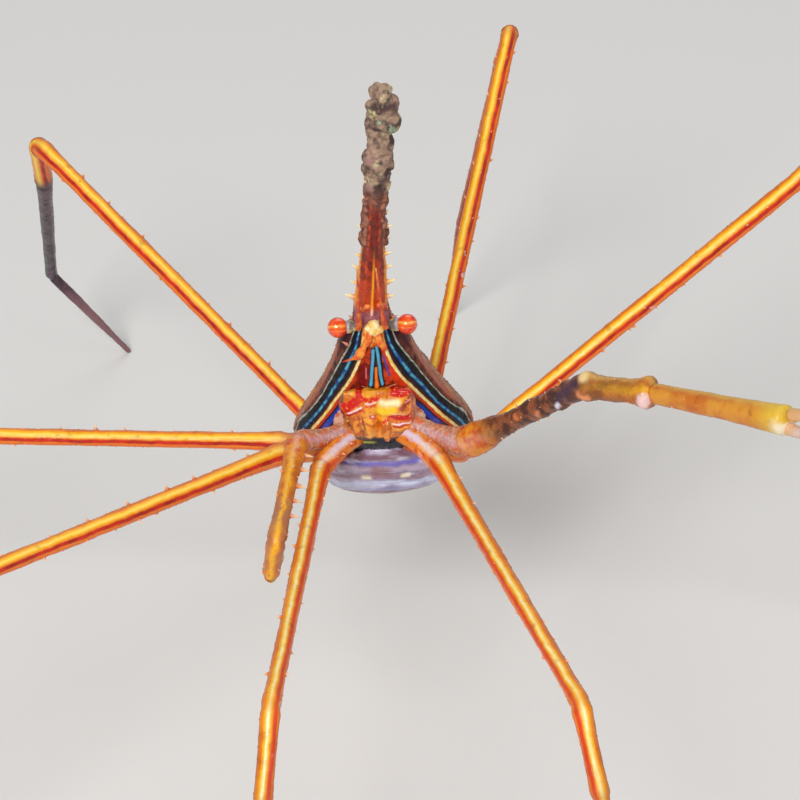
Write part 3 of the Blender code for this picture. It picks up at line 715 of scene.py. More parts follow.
def leg_points(root, hip, merus, carpus, propodus, dactyl):
    """The joints of a walking leg, from its sunk root to its toe, and its lengths."""
    points = chain(root, (hip, merus, carpus))
    if len(propodus) == 3:
        points.append(points[-1] + direction(*propodus[:2]) * propodus[2])
        heading, length = dactyl
        rise = -math.degrees(math.asin(points[-1].z / length))
    else:
        fall = landing_fall(points[-1].z, propodus[1], dactyl)
        points.append(points[-1] + direction(propodus[0], -fall) * propodus[1])
        heading, length, rise = propodus[0], dactyl, -(fall + DACTYL_EXTRA_RISE)
    points.append(points[-1] + direction(heading, rise) * length)
    points[-1].z = 0.0
    points[0] -= (points[1] - points[0]).normalized() * HIP_SUNK
    return points, [article[-1] for article in (hip, merus, carpus, propodus)] + [length]


def taper(base, outer, length, knob=0.12):
    """The radius along an article, from base to outer, with a swollen knob at each end."""
    def radius(part):
        ends = hump(part * length, KNOB_REACH) + hump((1 - part) * length, KNOB_REACH)
        return (base + (outer - base) * part) * (1 + knob * ends)

    return radius


class Path:
    """A limb's centre line: sampled points, directions, distances, radii and joints."""

    def __init__(self, points, profiles, hip_bow=None):
        centres, radii, joints = [], [], [0.0]
        for k, (a, b) in enumerate(zip(points, points[1:])):
            length = (b - a).length
            count = max(int(round(length / STEP)), 4)
            parts = np.arange(count) / count
            line = np.array(a) + parts[:, None] * np.array(b - a)
            if k == 0 and hip_bow is not None:
                line = bowed(line, hip_bow, parts)
            centres.append(line)
            radii.append(profiles[k](parts))
            joints.append(joints[-1] + length)
        centres.append([list(points[-1])])
        radii.append([profiles[-1](1.0)])
        self.centres = np.vstack(centres)
        self.radii = np.concatenate(radii)
        width = KNEE_ROUNDING / STEP
        reach = int(4 * width)
        weights = np.exp(-0.5 * (np.arange(-reach, reach + 1) / width) ** 2)
        weights /= weights.sum()
        first = 2 * self.centres[0] - self.centres[reach:0:-1]
        last = 2 * self.centres[-1] - self.centres[-2:-reach - 2:-1]
        padded = np.vstack([first, self.centres, last])
        self.centres = np.stack(
            [np.convolve(padded[:, axis], weights, "valid") for axis in range(3)], -1
        )
        steps = np.linalg.norm(np.diff(self.centres, axis=0), axis=1)
        self.along = np.concatenate([[0.0], np.cumsum(steps)])
        self.joints = [self.along[-1] * joint / joints[-1] for joint in joints]
        self.tangents = unit(np.gradient(self.centres, axis=0))
        self.facing, self.beside = facing_frame(self.tangents)

    def near(self, reach):
        """How near each ring is to a joint, from 0 to 1."""
        found = np.zeros(len(self.along))
        for joint in self.joints[1:-1]:
            found = np.maximum(found, hump(self.along - joint, reach))
        return found

    def at(self, along, turn, lift=0.0):
        """A place on the shell, the direction out of it and the one along the limb."""
        row = int(np.searchsorted(self.along, along))
        out = self.facing[row] * math.cos(turn) + self.beside[row] * math.sin(turn)
        place = self.centres[row] + out * (self.radii[row] + lift)
        return Vector(place), Vector(out), Vector(self.tangents[row])


def limb_shell(name, path, material, dark, hip, rough=0.035, swell=0.12, floor=True,
               side=1, start=0.0, knobs=(), **more):
    """One closed shell along the path, with grooves at its joints and knobs on its skin."""
    turns = ring_turns(SIDES)
    groove = sum(hump(path.along - joint - 0.1, GROOVE_REACH) for joint in path.joints[1:-1])
    widths = path.radii * (1 - GROOVE_DEPTH * groove)
    end = path.along[-1] - path.along
    widths = widths * np.sqrt(np.clip(end / TOE_ROUNDING, 0.25, 1.0))
    widths = widths * (1 + swell * hump(path.along - path.joints[1] - SWELL_AT, SWELL_REACH))
    out = spokes(path.facing, path.beside, turns)
    ridges = 1 + RIDGE_HEIGHT * np.cos(RIDGES * turns)[None, :] * (1 - path.near(1.0))[:, None]
    rings = path.centres[:, None] + out * (widths[:, None] * ridges)[..., None]
    bumps = rough * (clouds(rings, 0.55, 3.0) + 0.6 * clouds(rings, 0.24, 9.0))
    bumps += 0.05 * clouds(rings, 3.5, 21.0)
    for place, turn, size, height in knobs:
        gap = np.abs((turns - turn + np.pi) % (2 * np.pi) - np.pi)
        bumps += height * hump(path.along - place, size)[:, None] * hump(gap * 0.9, size)
    rings = rings + out * bumps[..., None]
    if floor:
        rings[..., 2] = np.maximum(rings[..., 2], 0.0)
    values = {
        "facing": np.cos(side * turns - start)[None, :],
        "beside": np.sin(side * turns - start)[None, :],
        "joint": path.near(0.5)[:, None],
        "dark": dark(path)[:, None],
        "along": path.along[:, None],
        "hip": hip(path)[:, None],
        "grain": (0.6 + hip(path))[:, None],
        **more,
    }
    return shell(name, rings, values, material)


def spine_places(path, article, rows, spacing, lean, draw, start=2.5, stop=2.0):
    """Places for spines in rows along one article. Each row is a turn and a size."""
    places = []
    begin, finish = path.joints[article] + start, path.joints[article + 1] - stop
    for turn, size in rows:
        along = begin + draw.random() * spacing
        while along < finish:
            place, out, ahead = path.at(along, turn + draw.uniform(-0.25, 0.25), lift=-0.12)
            lie = (out + ahead * lean).normalized()
            places.append((place, lie, size * draw.uniform(0.6, 1.3)))
            along += spacing * draw.uniform(0.6, 1.5)
    return places


print("limb shells have", SIDES, "sides and a ring every", STEP, "mm")

# %% [markdown]
# The walking legs carry short thorns in rows along the long merus and few on the rest, as
# the real legs do. Each shell stands for the solids' five articles. Every leg darkens
# towards its toe, and the last one on the right is darkened from its knee on as painted shade.

# %% Walking legs
FORE = TURN_BODY @ Vector((0.0, 0.0, 1.0))
FRONT_HIP_LIFT = 0.85


def leg_profiles(base, outer, lengths):
    """How the radius runs along each article of a walking leg."""
    hip, merus, carpus, propodus, dactyl = lengths
    return (
        taper(base * 1.18, base * 1.08, hip),
        taper(base, outer, merus, knob=0.16),
        taper(outer * 1.08, outer, carpus),
        taper(outer * 0.92, outer * 0.72, propodus),
        taper(outer * 0.72, TOE_RADIUS * 0.9, dactyl, knob=0.0),
    )


def steps(path, pairs):
    """A value along the limb, given at distances from its joints as (joint, offset, value)."""
    return np.interp(path.along, [path.joints[j] + offset for j, offset, value in pairs],
                     [value for j, offset, value in pairs])


def leg_dark(name):
    if name == "leg_5_right":
        # Painted shade on the last right leg, from its knee on.
        pairs = ((2, 1.0, 0.0), (3, -1.5, 0.2), (3, -0.3, 0.97), (4, -0.6, 1.0), (5, 0.0, 1.0))
    else:
        pairs = ((0, 0.0, 0.0), (2, 0.0, 0.0), (3, 0.0, 0.2), (4, 0.0, 0.55), (5, 0.0, 0.85))
    return lambda path: steps(path, pairs)


def hip_share(most, start=-1.6, stop=0.4):
    """How far a limb is granular skin: most at its root and none past its hip."""
    return lambda path: steps(path, ((0, 0.0, most), (1, start, most), (1, stop, 0.0)))


ARTICLES = ("hip", "merus", "carpus", "propodus", "dactyl")
for name, row in LEGS.items():
    points, lengths = leg_points(*row[:-1])
    front, side = name.startswith("leg_2"), 1 if name.endswith("left") else -1
    bow = FORE * -LAST_HIP_BOW if name.startswith("leg_5") else None
    if front:
        points[0] += FORE * FRONT_HIP_LIFT
        bow = FORE * FRONT_HIP_LIFT * 0.5
    path = Path(points, leg_profiles(*row[-1], lengths), bow)
    leg = limb_shell(name, path, LEG_PAINT, leg_dark(name), hip_share(0.5, -3.0, 2.5),
                     side=side, start=-0.08 if front else -0.32,
                     pearl=1.8 if front else 0.3, white=1.0 if front else 0.25)
    draw = random.Random(name)
    places = spine_places(path, 1, ((1.35, 1.0), (-1.35, 0.9), (0.25, 0.55), (3.0, 0.6)),
                          3.3, 0.55, draw)
    places += spine_places(path, 3, ((1.5, 0.5), (-1.5, 0.5)), 2.6, 0.9, draw, 1.0)
    places += spine_places(path, 0, ((0.6, 0.7), (-0.6, 0.7)), 1.5, 0.3, draw, 2.4, 0.4)
    grow_spines(leg, places, 0.16, 0.48, LEG_SPINE_PAINT, seed=len(name))
    sow(leg, 0.30, 0.05, LEG_PAINT, density=2.2, seed=3)
    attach(leg, "root")
    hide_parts(*[name + "_" + article for article in ARTICLES])
    print(name, len(leg.data.polygons), "faces,", len(places), "spines")

# %% [markdown]
# The claws stay separate at the hand: the arm's shell ends at the wrist, then come the
# palm with its fixed finger and the finger that moves. Both fingers are slender and pale.

# %% Claws
CLAW_HIP_DROP = 0.7
FINGER_ROWS, FINGER_SIDES = 60, 24
# The long spines on the right arm's inner side: their number, spacing and size
INNER_SPINES, INNER_GAP, INNER_SIZE = 5, 2.35, 2.0
# Knobs on the left arm: distance along it, turn, size and height
ARM_KNOBS = (
    (24.3, -1.15, 0.7, 0.32), (24.4, 1.0, 0.7, 0.28), (30.4, 0.9, 0.8, 0.38),
    (30.2, -1.40, 0.8, 0.32), (20.9, 0.9, 0.6, 0.26), (22.6, 0.5, 0.6, 0.20),
    (18.2, 0.7, 0.6, 0.22), (15.5, 0.0, 0.6, 0.18), (13.2, 0.8, 0.6, 0.20),
    (17.0, -1.2, 0.7, 0.20), (20.2, -0.9, 0.6, 0.18), (27.0, 0.5, 0.8, 0.14),
    (11.2, -1.0, 0.7, 0.22), (9.5, 0.6, 0.7, 0.20), (22.0, -1.3, 0.5, 0.20),
)


def fingers_of(points, row):
    """The fixed and the movable finger as (start, end, bend) beside the palm's end."""
    axis = direction(*row[4][:2])
    finger = direction(*row[5][:2])
    side = Vector((0, 0, 1)).cross(axis).normalized()
    lift = axis.cross(side)
    half = row[6][3] * 0.5
    fixed = (points[4] - axis * 1.5 - lift * half,
             points[4] + finger * row[5][2] - lift * half * 0.5, lift * -0.35)
    moving = (points[4] + axis * 0.3 + lift * (half + 0.06),
              points[4] + finger * row[5][2] + lift * (half * 0.5 + 0.2), lift * 0.35)
    return fixed, moving


def finger_shell(name, ends, slim, material):
    """A tapering finger with blunt teeth along its inner side."""
    start, end, bow = ends
    parts = np.linspace(0, 1, FINGER_ROWS)
    line = bowed(np.array(start) + parts[:, None] * np.array(end - start), bow, parts)
    tangents = unit(np.gradient(line, axis=0))
    beside = unit(np.cross(tangents, np.array(bow.normalized())))
    upper = np.cross(beside, tangents)
    turns = ring_turns(FINGER_SIDES)
    widths = slim * (1 - 0.66 * parts**1.5) * np.sqrt(np.clip((1 - parts) / 0.05, 0.1, 1))
    teeth = 0.10 * np.clip(np.sin(parts * 44), 0, 1) * np.clip((0.9 - parts) * 4, 0, 1)
    inner = np.clip(-np.cos(turns), 0, 1) ** 4
    size = widths[:, None] + teeth[:, None] * inner[None, :]
    out = spokes(upper, beside, turns)
    rings = line[:, None] + out * size[..., None]
    rings = rings + out * (0.02 * clouds(rings, 0.4, 5.0))[..., None]
    return shell(name, rings, {"share": parts[:, None]}, material)


def finger_paint():
    paint = Paint("finger shell", roughness=0.3, coat=0.3)
    share = paint.value("share")
    paint.colour = paint.mix(paint.climb(share + paint.stir(0.8, 0.3), 0.1, 0.55),
                             (226, 172, 110), (214, 204, 214))
    paint.lay(paint.band(share, 0.5, 0.12, 0.08), (150, 96, 130))
    paint.lay(paint.climb(share, 0.86, 1.0), (250, 244, 232))
    return paint.finish(None, paint.noise(0.3), 0.04)


FINGER_PAINT = finger_paint()
for name, row in CLAWS.items():
    points = chain(row[0], row[1:5])
    points[0] -= (points[1] - points[0]).normalized() * HIP_SUNK
    base, outer, wrist, knuckle = row[6]
    profiles = (
        taper(base * 1.1, base * 1.05, row[1][2]),
        taper(base, outer, row[2][2]),
        taper(outer, wrist, row[3][2]),
    )
    points[0] -= FORE * CLAW_HIP_DROP
    path = Path(points[:4], profiles, FORE * CLAW_HIP_DROP * -0.5)
    left = name == "cheliped_left"
    side = 1 if left else -1
    if left:
        pairs = ((0, 0.0, 0.0), (1, 1.5, 0.0), (1, 3.5, 0.6), (1, 6.0, 1.0), (2, -1.0, 1.0),
                 (2, 1.5, 0.75), (3, -2.0, 0.5), (3, -0.4, 0.3), (3, 0.0, 0.1))
    else:
        pairs = ((0, 0.0, 0.0), (3, 0.0, 0.1))
    tint = steps(path, ((1, 0.0, 0.0), (2, -6.0, 0.0), (2, -3.0, 0.0 if left else 0.8),
                        (3, 0.0, 0.0)))
    arm = limb_shell(name + "_arm", path, CLAW_PAINT, lambda p, q=pairs: steps(p, q),
                     hip_share(1.0, -0.8, 5.5), rough=0.07 if left else 0.05,
                     swell=0.65 if left else 0.35, floor=False, side=side,
                     knobs=ARM_KNOBS if left else (), pearl=0.35, tint=tint[:, None],
                     golden=0.0, marked=1.0 if left else 0.0)
    draw = random.Random(name)
    places = spine_places(path, 1, ((1.2, 0.9), (-1.2, 0.9), (0.1, 0.8), (2.6, 0.8)),
                          1.9 if left else 3.2, 0.4, draw, 1.2, 0.8)
    places += spine_places(path, 2, ((1.0, 0.8), (-1.0, 0.8), (0.1, 0.6)), 1.8, 0.4, draw,
                           0.8, 0.5)
    if not left:
        out = Vector((1, 0, 0.1)).normalized()
        for k in range(INNER_SPINES):
            row_at = np.searchsorted(path.along, path.joints[1] + 2.2 + INNER_GAP * k)
            place = Vector(path.centres[row_at]) + out * (base - 0.2)
            ahead = Vector(path.tangents[row_at])
            places.append((place, (out + ahead * 0.25).normalized(), INNER_SIZE))
    grow_spines(arm, places, 0.16, 0.62, LEG_SPINE_PAINT, seed=5)
    sow(arm, 0.26, 0.06, CLAW_PAINT, density=4.0, seed=5)
    hand_path = Path(points[3:5], (taper(wrist * 0.82, knuckle, row[4][2], knob=0.04),))
    palm = limb_shell(name + "_hand", hand_path, CLAW_PAINT, lambda p: 0.0 * p.along,
                      lambda p: 0.0 * p.along, rough=0.04, floor=False, side=side, pearl=0.0,
                      tint=0.0, golden=1.0, marked=0.0)
    places = spine_places(hand_path, 0, ((1.2, 0.6), (-1.2, 0.6), (0.1, 0.5)), 2.0, 0.5,
                          draw, 1.0, 1.5)
    grow_spines(palm, places, 0.15, 0.5, LEG_SPINE_PAINT, seed=6)
    fixed, moving = fingers_of(points, row)
    slim = knuckle * 0.46
    fixed_finger = finger_shell(name + "_fixed_finger", fixed, slim, FINGER_PAINT)
    moving_finger = finger_shell(name + "_moving_finger", moving, slim, FINGER_PAINT)
    for piece in (arm, palm, fixed_finger, moving_finger):
        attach(piece, "root")
    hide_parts(*[name + "_" + article for article in ("hip", "merus", "carpus")])
    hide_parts(name + "_palm")
    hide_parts(name + "_dactyl")
    print(name, len(arm.data.polygons) + len(palm.data.polygons), "faces")

# %% [markdown]
# The carapace is the plate behind the rostrum. From below, its flanks show bold lines:
# a cream line, a blue line and a pale grey line between black bands, which run from
# beside the mouth back to the rear corners. The lines' places are kept as tables of x
# against fore, and the shell's points store a lane: 1 on the cream line, 2 on the blue
# one, 3 on the grey one and 4 at the margin.

# %% Lofts along the body
def along(stations, place):
    """The stations' values at one place, on a smooth curve through them."""
    last, k = len(stations) - 1, 0
    while k < last - 1 and place > stations[k + 1][0]:
        k += 1
    here, there = stations[k], stations[k + 1]
    span = there[0] - here[0]
    t = min(max((place - here[0]) / span, 0.0), 1.0)
    before, after = stations[max(k - 1, 0)], stations[min(k + 2, last)]
    found = []
    for i in range(1, len(here)):
        slope_in = (there[i] - before[i]) / (there[0] - before[0]) * span
        slope_out = (after[i] - here[i]) / (after[0] - here[0]) * span
        found.append(here[i] * (2 * t**3 - 3 * t**2 + 1) + slope_in * (t**3 - 2 * t**2 + t)
                     + there[i] * (3 * t**2 - 2 * t**3) + slope_out * (t**3 - t**2))
    return found


def loft(stations, rows, sides, middle=0.0, roof=1.0, flank=1.0, wider=0.0):
    """Rings in the body's axes, with x, fore and how far each point is towards the belly."""
    first, last = stations[0][0], stations[-1][0]
    ends = (1 - np.cos(np.linspace(0, np.pi, rows))) / 2
    places = first + (last - first) * (0.6 * np.linspace(0, 1, rows) + 0.4 * ends)
    across, up = np.cos(ring_turns(sides)), np.sin(ring_turns(sides))
    power = np.where(up < 0, flank, roof)
    rings = []
    for place in places:
        width, level, top, bottom = along(stations, place)
        width += wider
        x = middle + width * np.sign(across) * np.abs(across) ** power
        back = level + np.where(up > 0, top - level, level - bottom) * up
        rings.append(np.stack([x, back, np.full(sides, place)], -1))
    rings = np.array(rings)
    belly = np.broadcast_to(-up, rings.shape[:2])
    return rings, rings[..., 0].copy(), rings[..., 2].copy(), belly


def outward(rings):
    """The direction out of a stack of rings at each point."""
    around = np.roll(rings, -1, 1) - np.roll(rings, 1, 1)
    forward = np.gradient(rings, axis=0)
    out = np.cross(around, forward)
    out /= np.maximum(np.linalg.norm(out, axis=-1), 1e-9)[..., None]
    middle = rings.mean((0, 1))
    return -out if ((rings - middle) * out).sum() < 0 else out


def to_world(rings):
    return rings @ np.array(TURN_BODY).T + np.array(BODY.translation)


def swells(x, fore, rows):
    """Round swellings over the plate, or hollows where the height is below 0."""
    return sum(height * hump(x - side * beside, wide) * hump(fore - place, long)
               for beside, place, wide, long, height in rows
               for side in ((-1, 1) if beside else (1,)))


# Stations along the body: fore, half width, level, top and bottom
CARAPACE = (
    (-7.0, 2.4, 4.9, 5.4, 4.4),
    (-6.1, 4.5, 4.6, 6.4, 3.3),
    (-4.0, 6.7, 3.7, 7.5, 1.3),
    (-1.0, 7.9, 2.2, 8.1, -0.8),
    (2.2, 6.7, 1.2, 7.6, -2.3),
    (5.8, 4.9, 0.8, 6.4, -2.7),
    (8.8, 3.7, 0.7, 5.0, -2.4),
    (11.3, 2.95, 0.6, 3.7, -1.8),
    (13.2, 1.8, 0.7, 2.8, -0.9),
    (15.2, 1.4, 1.0, 2.2, 0.0),
)
PLATE_ROWS, PLATE_SIDES = 170, 200
# Swellings: x, fore, reach each way and height. One beside the middle is on both sides.
BACK_SWELLS = (
    (0, 6.2, 2.0, 2.6, 0.5), (0, -1.6, 1.5, 1.5, 0.5), (0, -5.0, 1.3, 1.1, 0.3),
    (4.6, -1.4, 2.0, 2.8, 0.45), (3.5, 5.4, 1.0, 1.3, 0.35), (2.5, 1.9, 1.0, 1.3, -0.35),
    (1.9, 9.6, 0.8, 1.5, 0.3),
)
FACE_SWELLS = ((2.3, 13.2, 0.7, 0.8, -0.25), (0, 8.45, 2.0, 0.28, 0.22))
# Ridges and one furrow along the flank's lines: lane, reach and height
LANE_RIDGES = ((1.0, 0.16, 0.11), (1.6, 0.3, -0.05), (3.0, 0.12, 0.05), (3.75, 0.2, 0.10))
# Lines on the flank: x at each place fore
LINE_FORE = (-2.0, 1.0, 2.6, 4.2, 5.4, 6.4, 7.4, 8.4, 9.4, 10.6, 11.8, 13.5)
CREAM_LINE = (7.40, 6.15, 5.35, 4.48, 3.84, 3.30, 2.76, 2.20, 1.76, 1.30, 1.00, 0.62)
BLUE_LINE = (7.80, 6.75, 5.88, 4.98, 4.35, 3.92, 3.42, 2.86, 2.47, 1.95, 1.45, 1.00)
GREY_LINE = (8.10, 7.30, 6.42, 5.50, 4.84, 4.38, 3.92, 3.50, 3.05, 2.55, 1.95, 1.38)


def along_rows(fore):
    """The carapace's half width at each ring."""
    return np.array([along(CARAPACE, place)[0] for place in fore[:, 0]])[:, None]


def lanes(x, fore, belly):
    """0 at the middle, 1, 2 and 3 on the three lines and 4 at the margin."""
    width = along_rows(fore)
    marks = [np.interp(fore, LINE_FORE, line) for line in (CREAM_LINE, BLUE_LINE, GREY_LINE)]
    marks.append(np.maximum(width, marks[2] + 0.15) * np.ones_like(x))
    marks.insert(0, np.zeros_like(x))
    lane = np.zeros_like(x)
    size = np.abs(x)
    for k in range(4):
        lane += np.clip((size - marks[k]) / (marks[k + 1] - marks[k]), 0, 1)
    return np.where(belly < 0, 4 + np.clip(-belly, 0, 1), lane)


plate, plate_x, plate_fore, plate_belly = loft(CARAPACE, PLATE_ROWS, PLATE_SIDES,
                                               roof=1.45, flank=1.7)
plate_lane = lanes(plate_x, plate_fore, plate_belly)
over, under = np.clip(-plate_belly, 0, 1), np.clip(plate_belly, 0, 1)
relief = over * swells(plate_x, plate_fore, BACK_SWELLS)
ridges = sum(height * hump(plate_lane - lane, reach) for lane, reach, height in LANE_RIDGES)
relief += under * (ridges + swells(plate_x, plate_fore, FACE_SWELLS))
plate_world = to_world(plate)
out = outward(plate) @ np.array(TURN_BODY).T
relief += 0.05 * clouds(plate_world, 0.7, 2.0) + 0.03 * clouds(plate_world, 0.3, 8.0)
print("carapace", plate.shape[0], "rings; lanes up to", round(float(plate_lane.max()), 2))

# %% [markdown]
# The paint reads the lane, so each line is one band. Noise bends the lines a little, and
# the middle of the face has its own upright lines of blue, black and orange above the
# mouth, with a red and orange bar under them.

# %% Paint of the carapace
FACE_STROKES = (
    ((-1.15, 9.93), (-1.12, 8.6), 0.48, 0.24, (116, 14, 10)),
    ((1.58, 9.39), (2.36, 7.88), 0.43, 0.20, (226, 58, 14)),
    ((0.05, 11.93), (-0.4, 8.49), 0.25, 0.06, (5, 7, 12)),
    ((0.35, 11.91), (0.48, 8.48), 0.25, 0.06, (5, 7, 12)),
    ((0.1, 10.18), (0.04, 8.32), 0.10, 0.06, (240, 124, 26)),
    ((-0.03, 11.78), (-0.42, 8.59), 0.12, 0.06, (84, 164, 200)),
    ((0.29, 11.97), (0.49, 8.58), 0.11, 0.06, (84, 164, 200)),
    ((0.77, 11.1), (1.16, 9.14), 0.08, 0.07, (84, 70, 150)),
    ((-0.74, 10.07), (-0.82, 9.01), 0.05, 0.05, (216, 116, 130)),
    ((-2.37, 7.04), (2.64, 6.99), 0.24, 0.13, (214, 70, 18)),
    ((-1.15, 8.19), (1.64, 8.0), 0.05, 0.05, (244, 176, 150)),
)


def carapace_paint():
    paint = Paint("carapace shell", roughness=0.36, coat=0.06, shine=0.2)
    lane, fore, x = paint.value("lane"), paint.value("fore"), paint.value("x")
    bend = paint.stir(1.5, 0.20) + paint.stir(0.5, 0.16)
    flat, lane = lane, lane + bend
    inner = paint.value("inner") + bend * 0.7
    red = paint.mottle(0.9, 0.4, 0.62, (118, 18, 8), (206, 66, 18))
    low_face = paint.climb(fore, 6.0, 4.9)
    paint.colour = paint.mix(low_face, red, (34, 14, 40))
    patch = paint.band(inner, 0.76, 0.22, 0.10) * paint.climb(fore, 5.6, 4.7)
    patch = patch * paint.climb(fore, 1.2, 2.2)
    azure = paint.mix(paint.climb(fore, 3.4, 2.2), (24, 70, 190), (84, 84, 196))
    paint.lay(patch, azure)
    paint.lay(paint.climb(inner, 1.35, 1.9) * low_face, (120, 110, 160))
    paint.lay(paint.climb(inner, 0.42, 0.34), (200, 58, 12))
    paint.lay(paint.climb(inner, 0.0, -0.08), (62, 14, 16))
    cream = paint.mottle(0.6, 0.35, 0.65, (240, 196, 84), (250, 236, 168))
    paint.lay(paint.band(inner, 0.02, 0.12, 0.05), cream)
    paint.lay(paint.climb(inner, -0.26, -0.34), (5, 6, 9))
    blue = paint.mottle(0.7, 0.35, 0.65, (22, 74, 150), (88, 184, 204))
    paint.lay(paint.band(lane, 2.0, 0.34, 0.12) * 0.5, (14, 40, 96))
    paint.lay(paint.band(lane, 2.0, 0.15, 0.08), blue)
    grey = paint.mottle(0.6, 0.4, 0.6, (134, 140, 112), (190, 192, 184))
    paint.lay(paint.band(lane, 3.0, 0.09, 0.06), grey)
    margin = paint.mottle(0.8, 0.35, 0.65, (58, 20, 16), (126, 54, 34))
    # A painted highlight along the outer edge of the margin.
    margin = paint.mix(paint.climb(flat, 3.70, 3.97) * 0.7, margin, (190, 104, 76))
    paint.lay(paint.climb(lane, 3.12, 3.26), margin)
    face_x = x + paint.stir(1.1, 0.10)
    face_fore = fore + paint.stir(0.9, 0.2)
    paint.strokes(face_x, face_fore, FACE_STROKES, paint.climb(inner, 0.10, 0.22))
    amber = paint.mottle(0.45, 0.4, 0.6, (214, 96, 28), (250, 190, 96))
    mauve = paint.mix(paint.noise(0.5), (120, 50, 62), (190, 124, 130))
    paint.lay(paint.climb(face_fore, 11.9, 12.3) * paint.climb(abs(face_x), 1.0, 0.75), amber)
    paint.lay(paint.climb(fore, 13.2, 13.7) * paint.climb(flat, 3.8, 3.3), mauve)
    # Painted shadow under each eye.
    socket = paint.stroke(abs(x), fore, (2.1, 12.3), (3.1, 11.2), 0.35, 0.35)
    paint.lay(socket * 0.8, (46, 16, 26))
    spread = paint.value("share") + paint.stir(2.0, 0.10)
    back = paint.mottle(1.6, 0.42, 0.62, (150, 84, 40), (192, 122, 66))
    for place, width, shade in ((0.10, 0.030, (70, 26, 14)), (0.17, 0.022, (236, 206, 150)),
                                (0.34, 0.035, (86, 34, 18)), (0.42, 0.020, (232, 196, 140)),
                                (0.60, 0.040, (80, 32, 18)), (0.69, 0.020, (230, 190, 132)),
                                (0.86, 0.050, (96, 40, 22))):
        back = paint.mix(paint.band(spread, place, width, 0.018), back, shade)
    back = paint.mix(paint.blots(0.8, 0.56, 0.72) * 0.5, back, (84, 36, 20))
    paint.lay(paint.climb(flat, 4.02, 4.12), back)
    height = paint.noise(0.3, detail=4.0) + paint.noise(0.1) * 0.4
    return paint.finish(0.24 + paint.noise(0.9) * 0.25, height, 0.06)


CARAPACE_PAINT = carapace_paint()
values = {"x": plate_x, "fore": plate_fore, "lane": plate_lane,
          "share": np.abs(plate_x) / along_rows(plate_fore),
          "inner": np.interp(plate_fore, LINE_FORE, CREAM_LINE) - np.abs(plate_x),
          "grain": np.clip(over * 1.2 + (plate_lane > 3.2), 0, 1)}
carapace = shell("carapace_shell", plate_world + out * relief[..., None], values,
                 CARAPACE_PAINT)
# Spines on the plate: root, tip, size and the sides that have it
PLATE_SPINES = (
    ((1.1, 0.7, 12.9), (2.5, 0.9, 13.9), 1.4, (-1, 1)),
    ((1.7, -0.4, 11.2), (2.9, -0.5, 11.9), 1.3, (-1,)),
    ((2.9, 1.9, 8.2), (4.2, 2.6, 8.6), 0.9, (-1, 1)),
    ((0.0, 6.2, 6.3), (0.0, 7.6, 6.7), 1.2, (1,)),
    ((0.0, 7.6, -1.5), (0.0, 9.0, -1.3), 1.0, (1,)),
)
places = []
for root, tip, size, sides in PLATE_SPINES:
    for side in sides:
        start, end = (body_point(*place) for place in mirrored((root, tip), side))
        places.append((start, (end - start).normalized(), size))
grow_spines(carapace, places, 0.24, 0.9, RED_SPINE_PAINT, spread=0.1, seed=11)
sow(carapace, 0.28, 0.055, CARAPACE_PAINT, density=5.0, seed=11)
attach(carapace, "root")
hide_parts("carapace")
print("carapace", len(carapace.data.polygons), "faces")

# %% [markdown]
# Below the face lie the outer mouthparts, two rounded flaps with curved red bands, each
# with a small jointed palp. Under them the sternum carries the legs, and the broad pearly
# abdomen of a female folds up against it.

# %% Mouth, sternum and abdomen
# Stations along the body: fore, half width, level, top and bottom
MAXILLIPED = (
    (3.9, 1.05, -3.9, -3.5, -4.3),
    (5.0, 1.3, -3.6, -3.0, -4.35),
    (7.0, 1.5, -3.1, -2.4, -3.95),
    (8.35, 1.35, -2.9, -2.55, -3.35),
)
STERNUM = (
    (-6.3, 2.2, 1.6, 2.5, 0.8),
    (-5.2, 3.5, 1.0, 2.4, -0.4),
    (-3.4, 4.0, -0.2, 1.4, -1.6),
    (-1.4, 4.1, -1.0, 0.6, -2.3),
    (0.6, 4.0, -1.6, 0.0, -3.0),
    (3.0, 3.9, -2.3, -0.6, -3.9),
    (5.2, 3.7, -2.5, -1.2, -3.6),
    (6.8, 2.6, -2.4, -1.8, -2.9),
)
ABDOMEN = (
    (-5.2, 3.2, -0.7, 0.0, -1.8),
    (-4.2, 4.6, -1.4, -0.4, -3.0),
    (-2.7, 5.0, -2.1, -1.0, -3.9),
    (-0.9, 4.5, -2.7, -1.8, -4.2),
    (0.8, 3.0, -3.1, -2.5, -4.0),
    (1.9, 1.3, -3.4, -3.1, -3.7),
)


def body_shell(name, stations, rows, sides, material, relief_of, middle=0.0, grain=0.0,
               power=1.0, wider=0.0):
    """A shell along the body, raised by relief_of(x, fore). A pair's ends lean inwards."""
    rings, x, fore, _ = loft(stations, rows, sides, middle, power, power, wider)
    # Below fore 5.4 and above 7.2 the rings move towards the middle
    pull = middle * (0.20 * np.clip(5.4 - fore, 0, 2) + 0.14 * np.clip(fore - 7.2, 0, 2))
    rings[..., 0] -= pull
    x = x - pull
    out = outward(rings) @ np.array(TURN_BODY).T
    world = to_world(rings)
    lift = relief_of(x, fore) + 0.025 * clouds(world, 0.35, 4.0)
    values = {"x": x, "fore": fore, "grain": grain}
    return shell(name, world + out * lift[..., None], values, material)


